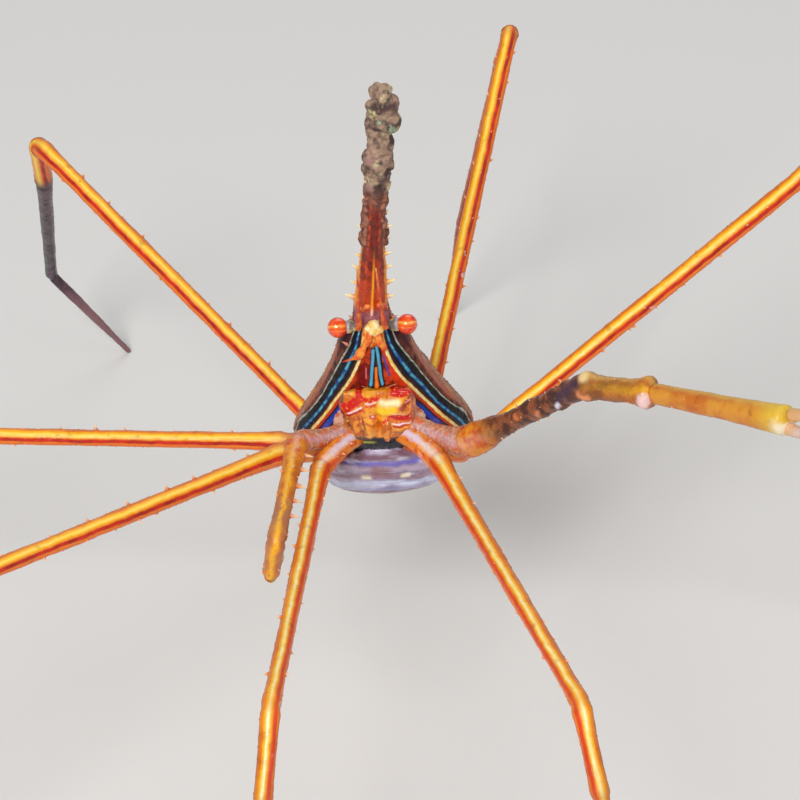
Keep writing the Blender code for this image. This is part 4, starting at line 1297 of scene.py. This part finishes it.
# Strokes on the flaps: start and end as (x, fore), half width, softness and colour. The pale pink
# and white lines on the red bands are painted highlights, and the strokes along the side edges and
# the bottom are painted shade.
MOUTH_STROKES = (
    ((-2.43, 9.02), (2.67, 8.82), 0.30, 0.11, (214, 66, 12)),
    # painted highlight along the top bar
    ((-1.21, 8.73), (1.06, 8.7), 0.06, 0.06, (244, 196, 186)),
    # painted shade along the left and right edges
    ((-2.89, 8.22), (-3.13, 6.04), 0.19, 0.13, (104, 26, 26)),
    ((3.07, 8.09), (2.87, 5.57), 0.09, 0.08, (186, 104, 104)),
    ((-2.81, 7.14), (-1.48, 8.08), 0.38, 0.08, (210, 18, 4)),
    ((-1.48, 8.05), (0.06, 7.79), 0.18, 0.07, (220, 40, 8)),
    # painted highlights on the red bands at the left
    ((-2.54, 6.77), (-1.38, 7.34), 0.07, 0.05, (252, 216, 230)),
    ((-0.97, 7.59), (-0.13, 7.61), 0.06, 0.05, (252, 216, 230)),
    ((-2.7, 6.51), (-1.41, 7.08), 0.09, 0.06, (176, 8, 14)),
    ((-0.95, 7.38), (-0.1, 7.4), 0.07, 0.05, (222, 60, 26)),
    ((-2.2, 6.2), (-0.4, 5.4), 0.10, 0.15, (188, 76, 18)),
    ((0.1, 5.6), (0.3, 4.4), 0.10, 0.14, (196, 90, 20)),
    ((0.22, 6.83), (1.23, 6.96), 0.42, 0.28, (255, 206, 20)),
    # painted highlight, pale yellow-white, over the yellow patch
    ((0.48, 7.56), (1.74, 7.59), 0.28, 0.25, (255, 252, 196)),
    ((1.37, 8.35), (2.83, 8.16), 0.23, 0.07, (212, 18, 4)),
    ((2.16, 7.04), (2.8, 7.72), 0.28, 0.19, (158, 52, 26)),
    # painted highlight on the brown-red patch
    ((2.42, 7.55), (2.8, 7.66), 0.05, 0.05, (236, 156, 140)),
    ((0.42, 5.8), (1.24, 6.35), 0.12, 0.06, (222, 46, 16)),
    ((1.24, 6.24), (2.74, 6.04), 0.21, 0.06, (198, 12, 8)),
    # painted highlights on the red bands at the right
    ((1.23, 6.58), (2.69, 6.46), 0.06, 0.05, (246, 176, 150)),
    ((1.26, 5.58), (2.65, 5.58), 0.08, 0.05, (250, 222, 242)),
    ((1.31, 5.31), (2.54, 5.29), 0.11, 0.05, (184, 8, 24)),
    ((-2.49, 5.89), (-1.42, 4.62), 0.49, 0.23, (170, 92, 30)),
    ((-2.49, 5.94), (-1.99, 4.65), 0.08, 0.07, (92, 40, 12)),
    ((-1.9, 5.96), (-1.37, 4.72), 0.08, 0.07, (104, 44, 14)),
    ((-2.2, 5.96), (-1.62, 4.68), 0.05, 0.05, (232, 164, 84)),
    ((-1.33, 6.09), (-1.11, 5.15), 0.07, 0.06, (120, 56, 18)),
    ((-0.44, 6.29), (-0.43, 6.28), 0.26, 0.07, (206, 50, 34)),
    ((-0.44, 6.32), (-0.43, 6.3), 0.13, 0.07, (255, 214, 216)),
    ((1.51, 4.55), (2.03, 4.52), 0.34, 0.23, (178, 98, 30)),
    # painted shade along the bottom of the flaps
    ((-2.57, 4.3), (1.65, 3.61), 0.19, 0.13, (84, 42, 18)),
)


def mouth_paint():
    paint = Paint("mouth shell", roughness=0.26, coat=0.35)
    fore, x = paint.value("fore"), paint.value("x")
    x = x + paint.stir(0.8, 0.34)
    fore = fore + paint.stir(1.0, 0.40, detail=2.0)
    paint.colour = paint.mottle(0.8, 0.4, 0.62, (216, 104, 16), (246, 166, 36))
    paint.lay(paint.blots(0.5, 0.55, 0.75) * 0.5, (250, 196, 90))
    paint.strokes(x, fore, MOUTH_STROKES)
    paint.lay(paint.blots(0.22, 0.60, 0.72, detail=1.0) * 0.55, (255, 206, 110))
    # Painted shade at the flaps' lower ends, where they turn under.
    paint.lay(paint.climb(fore, 4.15, 3.9), (60, 30, 24))
    return paint.finish(None, paint.noise(0.3, detail=4.0), 0.07)


def sternum_paint():
    paint = Paint("under shell", roughness=0.42, coat=0.15)
    x = paint.value("x")
    side = abs(x) + paint.stir(0.9, 0.6)
    paint.colour = paint.mix(paint.noise(0.5), (206, 150, 122), (236, 196, 168))
    paint.lay(paint.blots(1.1, 0.5, 0.65), (214, 92, 44))
    # Painted shadow over the middle of the sternum, between the mouthparts and the abdomen.
    paint.lay(paint.climb(side, 2.7, 2.2), (12, 16, 34))
    fore = paint.value("fore") + paint.stir(1.3, 0.4)
    rim = paint.band(fore, 3.1, 0.10, 0.08) * paint.band(x, -1.4, 0.9, 0.3)
    paint.lay(rim, (176, 176, 60))
    return paint.finish(None, paint.noise(0.25, detail=4.0), 0.08)


def abdomen_paint():
    paint = Paint("abdomen shell", roughness=0.26, coat=0.45)
    fore, x = paint.value("fore"), paint.value("x")
    height = fore + x * x * 0.03 + paint.stir(2.6, 1.5) + paint.stir(0.9, 0.4)
    paint.colour = paint.mottle(2.0, 0.35, 0.65, (134, 112, 140), (190, 178, 206))
    paint.bands(height, (
        (1.35, 0.35, 0.25, 0.90, (112, 66, 84)), (0.55, 0.20, 0.22, 0.85, (96, 92, 186)),
        (-0.1, 0.22, 0.30, 0.70, (190, 170, 190)), (-0.9, 0.25, 0.30, 0.60, (150, 108, 112)),
        (-1.8, 0.32, 0.35, 0.85, (212, 220, 246)), (-2.7, 0.22, 0.30, 0.70, (126, 134, 200)),
    ))
    paint.strokes(x, fore, (((-0.6, -0.2), (0.2, -0.3), 0.5, 0.45, (134, 84, 84)),
                            ((-1.75, -1.0), (-1.25, -1.0), 0.18, 0.18, (240, 232, 190)),
                            ((1.65, -1.0), (2.15, -1.0), 0.18, 0.18, (240, 232, 190))), 0.8)
    paint.lay(paint.climb(height, -3.0, -3.8) * 0.85, (156, 102, 92))
    streaks = paint.node("ShaderNodeTexNoise", None, Scale=0.8, Detail=2.0, Vector=paint.node(
        "ShaderNodeVectorMath", {"operation": "MULTIPLY"}, paint.place(), (0.35, 2.2, 2.2)))
    paint.lay(paint.climb(streaks, 0.54, 0.72) * 0.45, (232, 232, 246))
    return paint.finish(0.22 + paint.noise(1.2) * 0.15, paint.noise(0.6), 0.03)


def mouth_relief(x, fore):
    hinge = -0.14 * hump(fore - 6.2, 0.22)
    ridge = 0.10 * hump(np.abs(x) - 0.75, 0.25)
    return hinge + ridge + 0.06 * np.sin(np.abs(x) * 6 + fore * 2)


def abdomen_relief(x, fore):
    folds = sum(hump(fore + 0.035 * x * x - place, 0.14) for place in (0.7, -0.6, -1.9, -3.3))
    return -0.13 * folds + 0.05 * hump(x, 1.2)


MOUTH_PAINT, STERNUM_PAINT, ABDOMEN_PAINT = mouth_paint(), sternum_paint(), abdomen_paint()
mouth = []
for name, side in (("maxilliped_left", 1), ("maxilliped_right", -1)):
    flap = body_shell(name + "_flap", MAXILLIPED, 80, 96, MOUTH_PAINT, mouth_relief,
                      middle=1.46 * side, power=0.62, wider=0.22)
    mouth.append((flap, name))
sternum = body_shell("sternum_shell", STERNUM, 70, 96, STERNUM_PAINT,
                     lambda x, fore: 0.08 * np.sin(fore * 3.1), grain=1.0)
sow(sternum, 0.2, 0.07, STERNUM_PAINT, density=14.0, seed=21)
abdomen = body_shell("abdomen_shell", ABDOMEN, 90, 128, ABDOMEN_PAINT, abdomen_relief)
for piece, node, slot in ((sternum, "sternum", "under_shell"),
                          (abdomen, "abdomen", "abdomen_shell"),
                          *((flap, node, "mouth_shell") for flap, node in mouth)):
    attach(piece, "root")
    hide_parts(node)
print("belly pieces:", len(mouth) + 2)

# %% [markdown]
# Palps, antennules, antennae, brows, the pale knob of the face and the eye stalks are all
# short bent rods, so one helper makes them: it smooths a path of a few places and closes
# both ends with a rounded cap. Their places differ from left to right where the photo's do.

# %% Rods on the face
ROD_STEP, ROD_SIDES, ROD_SOFTENING = 0.09, 24, 6


def rod(name, places, radii, material, rough=0.02):
    """A rounded rod through places in the body's axes, with a radius at each."""
    knots = np.array([list(body_point(*place)) for place in places])
    gaps = np.linalg.norm(np.diff(knots, axis=0), axis=1)
    marks = np.concatenate([[0.0], np.cumsum(gaps)])
    count = max(int(marks[-1] / ROD_STEP), 16)
    s = np.linspace(0, marks[-1], count)
    line = np.stack([np.interp(s, marks, knots[:, k]) for k in range(3)], -1)
    size = np.interp(s, marks, radii)
    for _ in range(ROD_SOFTENING):
        line[1:-1] = (line[:-2] + 2 * line[1:-1] + line[2:]) / 4
        size[1:-1] = (size[:-2] + 2 * size[1:-1] + size[2:]) / 4
    end = np.minimum(s, marks[-1] - s)
    cap = np.maximum(size.min() * 0.9, 0.08)
    size = size * np.sqrt(np.clip(1 - (1 - np.clip(end / cap, 0, 1)) ** 2, 0.03, 1))
    out = spokes(*facing_frame(unit(np.gradient(line, axis=0))), ring_turns(ROD_SIDES))
    rings = line[:, None] + out * size[:, None, None]
    rings = rings + out * (rough * clouds(rings, 0.3, 6.0))[..., None]
    return shell(name, rings, {"share": (s / marks[-1])[:, None], "grain": 1.0}, material)


def face_paint(name, under, over, tip):
    """Two mottled colours, and a third at the rod's tip."""
    paint = Paint(name, roughness=0.34, coat=0.3)
    paint.colour = paint.mottle(0.5, 0.4, 0.62, under, over)
    paint.lay(paint.climb(paint.value("share"), 0.75, 0.98), tip)
    return paint.finish(None, paint.noise(0.2, detail=4.0), 0.04)


PALP_PAINT = face_paint("palp shell", (186, 88, 24), (236, 150, 50), (214, 70, 30))
ANTENNA_PAINT = face_paint("antenna shell", (190, 54, 16), (228, 112, 36), (232, 150, 70))
ANTENNULE_PAINT = face_paint("antennule shell", (228, 96, 24), (244, 150, 50), (214, 34, 14))
BROW_PAINT = face_paint("brow shell", (222, 70, 22), (244, 140, 60), (200, 40, 14))
KNOB_PAINT = face_paint("face knob", (244, 196, 96), (252, 236, 176), (232, 130, 44))
STALK_PAINT = face_paint("eye stalk", (120, 110, 112), (214, 196, 120), (190, 184, 204))
PALPS = {
    "left": ((0.86, -3.9, 5.9), (0.72, -4.3, 5.3), (0.60, -4.5, 4.6), (0.72, -4.45, 3.8)),
    "right": ((-1.75, -3.8, 6.4), (-2.0, -4.15, 5.8), (-1.8, -4.3, 5.0), (-1.45, -4.3, 4.4)),
}
ANTENNA = ((1.15, -0.9, 13.6), (1.05, -0.95, 14.4), (0.98, -0.95, 15.4), (0.86, -0.85, 17.5),
           (0.78, -0.8, 20.4))
BROWS = {
    "left": ((0.48, -0.28, 15.75), (0.85, -0.18, 15.6), (1.15, 0.1, 15.2), (1.25, 0.35, 14.8)),
    "right": ((0.02, -0.28, 15.75), (-0.35, -0.22, 15.6), (-0.65, -0.05, 15.2), (-0.8, 0.1, 14.8)),
}
ANTENNULES = {
    "left": (((0.25, -0.9, 13.4), (0.5, -1.3, 12.7), (0.85, -1.5, 12.1), (1.0, -1.5, 11.7)),
             (0.3, 0.34, 0.3, 0.2)),
    "right": (((-0.1, -0.9, 13.5), (-0.35, -1.3, 12.8), (-0.8, -1.45, 12.1), (-1.1, -1.6, 11.55),
               (-1.2, -1.65, 11.35), (-1.7, -1.75, 11.1), (-2.7, -1.8, 10.8)),
              (0.26, 0.32, 0.24, 0.46, 0.46, 0.12, 0.04)),
}
# The pale knob under the rostrum's root: a thick rod and three small ones
KNOB = (
    ((0.22, -0.55, 14.3), (0.18, -0.85, 13.6), (0.14, -1.1, 12.9)),
    ((-0.25, -0.7, 14.0), (-0.3, -0.95, 13.3)),
    ((0.62, -0.7, 13.8), (0.60, -0.95, 13.1)),
    ((0.42, -1.05, 12.9), (0.55, -1.3, 12.3)),
)
# The long thin outer branch of a mouthpart
EXOPOD = ((2.75, -3.2, 4.6), (2.95, -2.9, 6.4), (2.7, -2.5, 8.2))
rods = []
for word, side in (("left", 1), ("right", -1)):
    palp = rod("palp_" + word, PALPS[word], (0.28, 0.36, 0.34, 0.22), PALP_PAINT, rough=0.08)
    exopod = rod("exopod_" + word, mirrored(EXOPOD, side), (0.16, 0.2, 0.12), ANTENNA_PAINT)
    antennule = rod("antennule_" + word, *ANTENNULES[word], ANTENNULE_PAINT, rough=0.06)
    brow = rod("brow_" + word, BROWS[word], (0.22, 0.28, 0.27, 0.2), BROW_PAINT, rough=0.05)
    antenna = rod("antenna_shell_" + word, mirrored(ANTENNA, side),
                  (0.24, 0.26, 0.15, 0.10, 0.06), ANTENNA_PAINT, rough=0.03)
    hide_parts("antenna_" + word)
    for piece, slot in ((palp, "mouth_shell"), (exopod, "mouth_shell"),
                        (antennule, "feeler"), (antenna, "feeler"), (brow, "shell")):
        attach(piece, "root")
        rods.append(piece)
lumps = [rod("face_knob", KNOB[0], (0.40, 0.54, 0.42), KNOB_PAINT, rough=0.17)]
for number, places in enumerate(KNOB[1:]):
    lumps.append(rod(f"face_knob_{number}", places, (0.34, 0.36), KNOB_PAINT, rough=0.09))
for lump in lumps:
    sow(lump, 0.16, 0.05, KNOB_PAINT, density=20.0, seed=8)
    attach(lump, "root")
print(len(rods) + len(lumps), "rods on the face")

# %% [markdown]
# The eyes are the brightest things on the animal: glossy orange-red balls with a yellow
# band, partly painted highlight, with a pale painted highlight line in it, on short grey
# stalks that stand out to the sides. A ball of rings gives the cornea, and fine cells in
# its bump stand for the facets.

# %% Eyes
EYE_ROOT = (0.9, 0.3, 12.9)
EYE_END = (3.77, -0.2, 13.3)
EYE_RADIUS = 0.87
EYE_ROWS, EYE_SIDES = 48, 64
EYE_TILTS = (-72, 88)
STALK_PARTS = (-0.15, 0.12, 0.3, 0.42, 0.52)


def cornea_paint():
    paint = Paint("cornea", roughness=0.07, coat=1.0)
    cells = paint.node("ShaderNodeTexVoronoi", None, Vector=paint.place(), Scale=9.0)
    level = paint.value("level") + paint.stir(0.9, 0.5)
    paint.colour = paint.mottle(0.7, 0.35, 0.65, (226, 46, 6), (255, 96, 14))
    # The yellow band is partly the eye's own colour and partly painted highlight, and the pale
    # narrow line in it is a painted highlight.
    paint.bands(level, ((0.10, 0.12, 0.20, 0.85, (255, 164, 40)),
                        (0.16, 0.03, 0.12, 0.6, (255, 222, 120)),
                        (-0.35, 0.03, 0.06, 0.5, (255, 190, 80))))
    paint.lay(paint.climb(paint.value("share"), 0.16, 0.08), (90, 40, 40))
    return paint.finish(None, cells, 0.012)


CORNEA_PAINT = cornea_paint()
for word, side in (("left", 1), ("right", -1)):
    root, end = (body_point(*place) for place in mirrored((EYE_ROOT, EYE_END), side))
    axis = (end - root).normalized()
    centre = np.array(end - axis * EYE_RADIUS)
    up = (UP - axis * UP.dot(axis)).normalized()
    other = axis.cross(up)
    turns = ring_turns(EYE_SIDES)
    tilt = np.radians(np.linspace(*EYE_TILTS, EYE_ROWS))
    ring = np.array(up) * np.cos(turns)[:, None] + np.array(other) * np.sin(turns)[:, None]
    rings = (centre + EYE_RADIUS * (np.sin(tilt)[:, None, None] * np.array(axis)
             + np.cos(tilt)[:, None, None] * ring[None]))
    level = np.cos(tilt)[:, None] * np.cos(turns)[None]
    eye = shell("cornea_" + word, rings,
                {"level": level, "share": np.linspace(0, 1, EYE_ROWS)[:, None]}, CORNEA_PAINT)
    along_stalk = [tuple(np.array(EYE_ROOT) + (np.array(EYE_END) - EYE_ROOT) * part)
                   for part in STALK_PARTS]
    stalk = rod("eye_stalk_" + word, mirrored(along_stalk, side),
                (0.5, 0.46, 0.5, 0.62, 0.66), STALK_PAINT, rough=0.04)
    for piece in (eye, stalk):
        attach(piece, "root")
    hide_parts("eye_" + word)
print("eyes of radius", EYE_RADIUS)

# %% [markdown]
# The rostrum is a long three-sided spike. It starts inside the front of the carapace, so
# that both read as one shell. Pale spines stand along both edges. Its outer half wears a
# crust that the animal gathers: many small lumps, grown together by a voxel remesh.

# %% Rostrum
ROSTRUM_BASE = (0.0, 0.9, 15.2)
ROSTRUM_TIP = (2.4, 1.5, 37.6)
ROSTRUM_WIDTHS = (1.4, 1.02, 0.82, 0.62, 0.4)
ROSTRUM_SUNK = 1.8
ROSTRUM_ROWS, ROSTRUM_SIDES = 170, 60
SIDE_SPINES_FROM, SIDE_SPINES_TO = 0.3, 15.0
ROSTRUM_FLATNESS = 0.72
base = body_point(*ROSTRUM_BASE)
tip = body_point(*ROSTRUM_TIP)
SPIKE = (tip - base).normalized()
SPIKE_LENGTH = (tip - base).length
SPIKE_ACROSS = (TURN_BODY @ Vector((1, 0, 0))).normalized()
SPIKE_BACK = SPIKE.cross(SPIKE_ACROSS).normalized()


def spike_width(part):
    """The rostrum's half width at this part of its length."""
    return float(np.interp(part * 4, range(5), ROSTRUM_WIDTHS))


def spike_place(distance, across=0.0, back=0.0):
    """A place beside the rostrum's axis, in millimetres from its base."""
    return base + SPIKE * distance + SPIKE_ACROSS * across + SPIKE_BACK * back


def rostrum_paint():
    paint = Paint("rostrum shell", roughness=0.36, coat=0.12, shine=0.35)
    distance, across, below = (paint.value(word) for word in ("distance", "across", "below"))
    wobble = paint.stir(1.1, 0.22)
    paint.colour = paint.mottle(0.7, 0.38, 0.62, (96, 16, 8), (182, 44, 12))
    paint.lay(paint.climb(distance, 5.0, 1.0) * 0.6, (212, 74, 16))
    paint.lay(paint.climb(distance, 3.0, 7.0) * 0.75, (96, 24, 14))
    sides = paint.climb(abs(across), 0.45, 0.85) * paint.climb(distance, 4.0, 8.0)
    paint.lay(sides * 0.8, (112, 70, 58))
    line = paint.band(across - 0.08 + wobble * 0.4, 0.0, 0.07, 0.06) * paint.climb(below, 0.2, 0.5)
    paint.lay(line * paint.climb(distance, 7.0, 3.0) * 0.9, (250, 168, 30))
    # A painted highlight on the middle line at the rostrum's root.
    paint.lay(line * paint.climb(distance, 0.4, -0.4), (250, 222, 214))
    aside = abs(across + wobble)
    second = paint.band(aside, 0.45, 0.09, 0.10) * paint.blots(0.9, 0.4, 0.6)
    paint.lay(second * 0.7, (226, 84, 26))
    edge = paint.climb(aside, 0.80, 0.95) * paint.climb(distance, 10.0, 4.0)
    paint.lay(edge, (240, 150, 36))
    root = paint.mix(paint.noise(0.5), (120, 50, 62), (190, 124, 130))
    paint.lay(paint.climb(distance, 0.1, -0.5) * 0.8 * (1 - line), root)
    grey = paint.mix(paint.noise(0.7), (92, 70, 58), (140, 116, 96))
    paint.lay(paint.climb(distance + wobble * 20, 9.5, 13.5) * 0.85, grey)
    brown = paint.mottle(0.8, 0.4, 0.6, (110, 48, 26), (156, 88, 44))
    brown = paint.mix(paint.band(aside, 0.38, 0.07, 0.06), brown, (232, 200, 146))
    back = paint.climb(below, 0.0, -0.35) * paint.climb(distance, 8.0, 0.5)
    paint.lay(back, brown)
    return paint.finish(None, paint.noise(0.3, detail=4.0), 0.08)


ROSTRUM_PAINT = rostrum_paint()
parts = np.linspace(-ROSTRUM_SUNK / SPIKE_LENGTH, 1.0, ROSTRUM_ROWS)
turns = ring_turns(ROSTRUM_SIDES)
keel = 1 + 0.22 * np.clip(-np.sin(turns), 0, 1) ** 6 - 0.10 * np.clip(np.sin(turns), 0, 1)
rings = []
for part in parts:
    width = spike_width(max(part, 0.0)) * (0.9 if part < -0.03 else 1.0)
    width *= math.sqrt(max(min((1.0 - part) / 0.02, 1.0), 0.1))
    centre = np.array(spike_place(SPIKE_LENGTH * part))
    rings.append(centre + np.outer(width * np.cos(turns), SPIKE_ACROSS)
                 + np.outer(width * ROSTRUM_FLATNESS * np.sin(turns) * keel, SPIKE_BACK))
rings = np.array(rings)
out = unit(rings - rings.mean(1, keepdims=True))
bumps = 0.05 * clouds(rings, 0.5, 1.0) + 0.05 * clouds(rings, 1.4, 7.0)
rings = rings + out * bumps[..., None]
values = {"distance": (SPIKE_LENGTH * parts)[:, None], "across": np.cos(turns)[None, :],
          "below": -np.sin(turns)[None, :], "grain": 1.0}
rostrum = shell("rostrum_shell", rings, values, ROSTRUM_PAINT)
draw = random.Random("rostrum")
places = []
for side in (-1, 1):
    distance = SIDE_SPINES_FROM
    while distance < SIDE_SPINES_TO:
        part = distance / SPIKE_LENGTH
        root = spike_place(distance, side * spike_width(part) * 0.72)
        lie = (SPIKE_ACROSS * side + SPIKE * draw.uniform(0.25, 0.6)
               + SPIKE_BACK * draw.uniform(-0.25, 0.1)).normalized()
        places.append((root, lie, draw.uniform(0.85, 1.15) * (1.1 - 0.95 * part)))
        distance += draw.uniform(1.35, 1.75)
grow_spines(rostrum, places, 0.31, 1.12, CREAM_SPINE_PAINT, bend=0.1, spread=0.08, seed=31)
sow(rostrum, 0.26, 0.06, ROSTRUM_PAINT, density=5.0, seed=31)
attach(rostrum, "root")
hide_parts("rostrum")
print("rostrum", round(SPIKE_LENGTH, 1), "mm with", len(places), "side spines")

# %% [markdown]
# The crust could be painted, but its lumps change the outline. Balls of many sizes are
# set round the spike and smaller ones along its sides. The voxel remesh joins them to one
# skin, which a Smooth modifier softens and noise roughens again.

# %% Crust on the rostrum
# The crust's main lumps: fore, how far across and radius
CRUST = (
    (27.4, -0.35, 0.72), (28.9, 0.1, 0.9), (30.4, -0.3, 0.95), (32.0, 0.25, 1.0),
    (33.4, -0.3, 0.8), (34.2, 0.7, 1.1), (35.8, 0.6, 0.95), (36.9, 0.1, 0.7),
)
CRUST_BALLS, SIDE_LUMPS = 210, 110
BALLS_BETWEEN, LUMPS_BETWEEN = (11.2, 22.3), (6.4, 12.2)
CRUST_START = 12.0
CRUST_VOXEL = 0.085
SOFTENING_STEPS = 14


def crust_paint():
    paint = Paint("crust", roughness=0.75)
    paint.colour = paint.mottle(1.3, 0.40, 0.60, (74, 52, 48), (168, 138, 114))
    paint.lay(paint.blots(2.1, 0.52, 0.64) * 0.7, (178, 136, 124))
    paint.lay(paint.blots(1.1, 0.52, 0.74), (214, 198, 150))
    paint.lay(paint.blots(1.5, 0.64, 0.80), (176, 196, 164))
    paint.lay(paint.blots(0.7, 0.52, 0.76) * 0.85, (44, 32, 38))
    brown = paint.mottle(0.6, 0.4, 0.6, (96, 46, 34), (158, 104, 82))
    distance = paint.value("distance") + paint.stir(1.2, 3.0)
    paint.lay(paint.climb(distance, 12.6, 11.4), brown)
    return paint.finish(None, paint.noise(0.25, detail=5.0), 0.12)


CRUST_PAINT = crust_paint()
balls = bmesh.new()
draw = random.Random("crust")


def add_ball(distance, across, back, radius):
    """A ball beside the rostrum's axis, drawn out a little."""
    place = Matrix.Translation(spike_place(distance, across, back) * MM)
    stretch = Matrix.Diagonal((1.0, 1.0, draw.uniform(1.0, 1.3), 1.0))
    bmesh.ops.create_icosphere(balls, subdivisions=2, radius=radius * MM, matrix=place @ stretch)


for fore, across, radius in CRUST:
    add_ball(fore - ROSTRUM_BASE[2], across, 0.0, radius * 0.96)
for _ in range(CRUST_BALLS):
    distance = draw.uniform(*BALLS_BETWEEN)
    reach = spike_width(distance / SPIKE_LENGTH) * draw.uniform(0.6, 0.95)
    if distance > CRUST_START:
        reach += draw.uniform(0.05, 0.30)
    turn = draw.uniform(0, 2 * math.pi)
    size = draw.uniform(0.2, 0.5) * (0.6 if distance < CRUST_START else 1.0)
    add_ball(distance, reach * math.cos(turn), reach * 0.8 * math.sin(turn), size)
for _ in range(SIDE_LUMPS):
    distance = draw.uniform(*LUMPS_BETWEEN)
    width = spike_width(distance / SPIKE_LENGTH)
    side = draw.choice((-1, 1))
    turn = draw.gauss(0, 0.5)
    size = draw.uniform(0.16, 0.34)
    add_ball(distance, side * width * 0.93 * math.cos(turn), width * 0.66 * math.sin(turn), size)
mesh = bpy.data.meshes.new("rostrum_crust")
balls.to_mesh(mesh)
balls.free()
crust = put("rostrum_crust", mesh)
remesh = crust.modifiers.new("Grown together", "REMESH")
remesh.mode = "VOXEL"
remesh.voxel_size = CRUST_VOXEL * MM
remesh.use_smooth_shade = True
soften = crust.modifiers.new("Softened", "SMOOTH")
soften.factor = 0.5
soften.iterations = SOFTENING_STEPS
graph = bpy.context.evaluated_depsgraph_get()
grown = bpy.data.meshes.new_from_object(crust.evaluated_get(graph), depsgraph=graph)
crust.modifiers.clear()
crust.data = grown
grown.name = "rostrum_crust"
spots, normals = np.empty((2, len(grown.vertices) * 3))
grown.vertices.foreach_get("co", spots)
grown.vertices.foreach_get("normal", normals)
spots = spots.reshape(-1, 3) / MM
lift = 0.16 * clouds(spots, 0.9, 3.0) + 0.07 * clouds(spots, 0.28, 11.0) + 0.05
spots += normals.reshape(-1, 3) * lift[:, None]
grown.vertices.foreach_set("co", (spots * MM).ravel())
distances = (spots - np.array(base)) @ np.array(SPIKE)
keep(grown, "distance", distances)
grown.shade_smooth()
grown.materials.append(CRUST_PAINT)
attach(crust, "root")
print("crust of", len(grown.polygons), "faces")

# %% [markdown]
# The floor is a plain pale sheet, larger than the view, and the light is soft: a big lamp
# over the front left, a weaker one on the right, one behind and a pale world. The camera
# repeats the photo's angle, 38 degrees above level in front, from a quarter of a metre.

# %% Floor, light and camera
FLOOR_REACH, FLOOR_DROP = 8.0, 1e-5
floor_paint = Paint("floor", roughness=0.8)
floor_paint.colour = ink(226, 224, 220)
floor_mesh = bpy.data.meshes.new("floor")
corners = [(x * FLOOR_REACH, y * FLOOR_REACH, -FLOOR_DROP)
           for x, y in ((-1, -1), (1, -1), (1, 1), (-1, 1))]
floor_mesh.from_pydata(corners, [], [(0, 1, 2, 3)])
floor_mesh.materials.append(floor_paint.finish())
floor = put("floor", floor_mesh)

# Each lamp: its name, place in metres, size in metres and power in watts
AIM = Vector((0.0, 0.0, 0.03))
for name, place, size, power in (("key", (-0.16, -0.40, 0.48), 0.20, 2.8),
                                 ("fill", (0.50, -0.25, 0.35), 0.45, 0.7),
                                 ("back", (0.10, 0.55, 0.50), 0.50, 1.0)):
    light = bpy.data.lights.new(name, "AREA")
    light.size, light.energy = size, power
    holder = put(name, light)
    holder.location = place
    holder.rotation_euler = (AIM - Vector(place)).to_track_quat("-Z", "Y").to_euler()
world = bpy.data.worlds.new("studio")
world.use_nodes = True
sky = world.node_tree.nodes["Background"].inputs
sky["Color"].default_value = (0.86, 0.88, 0.92, 1.0)
sky["Strength"].default_value = 0.36
bpy.context.scene.world = world
bpy.context.scene.view_settings.view_transform = "Standard"

FRAME_SIZE = 800
FOCAL_PIXELS = 2990.0
SENSOR = 36.0
RIGHT = Vector((1.0, 0.0, 0.0))
CAMERA_AWAY, CAMERA_RIGHT, CAMERA_UP = 260.0, 1.5, 3.04
camera_data = bpy.data.cameras.new("camera")
camera_data.sensor_width = SENSOR
camera_data.lens = FOCAL_PIXELS / FRAME_SIZE * SENSOR
camera_data.clip_start, camera_data.clip_end = 0.01, 30.0
camera = put("camera", camera_data)
stand = body_point(0, 0, 0) + RIGHT * CAMERA_RIGHT + UP * CAMERA_UP + LOOK * CAMERA_AWAY
stand *= MM
turn = Matrix((RIGHT, UP, LOOK)).transposed().to_4x4()
camera.matrix_world = Matrix.Translation(stand) @ turn
bpy.context.scene.camera = camera
print("camera at", [round(value, 3) for value in stand], "lens", round(camera_data.lens, 1))
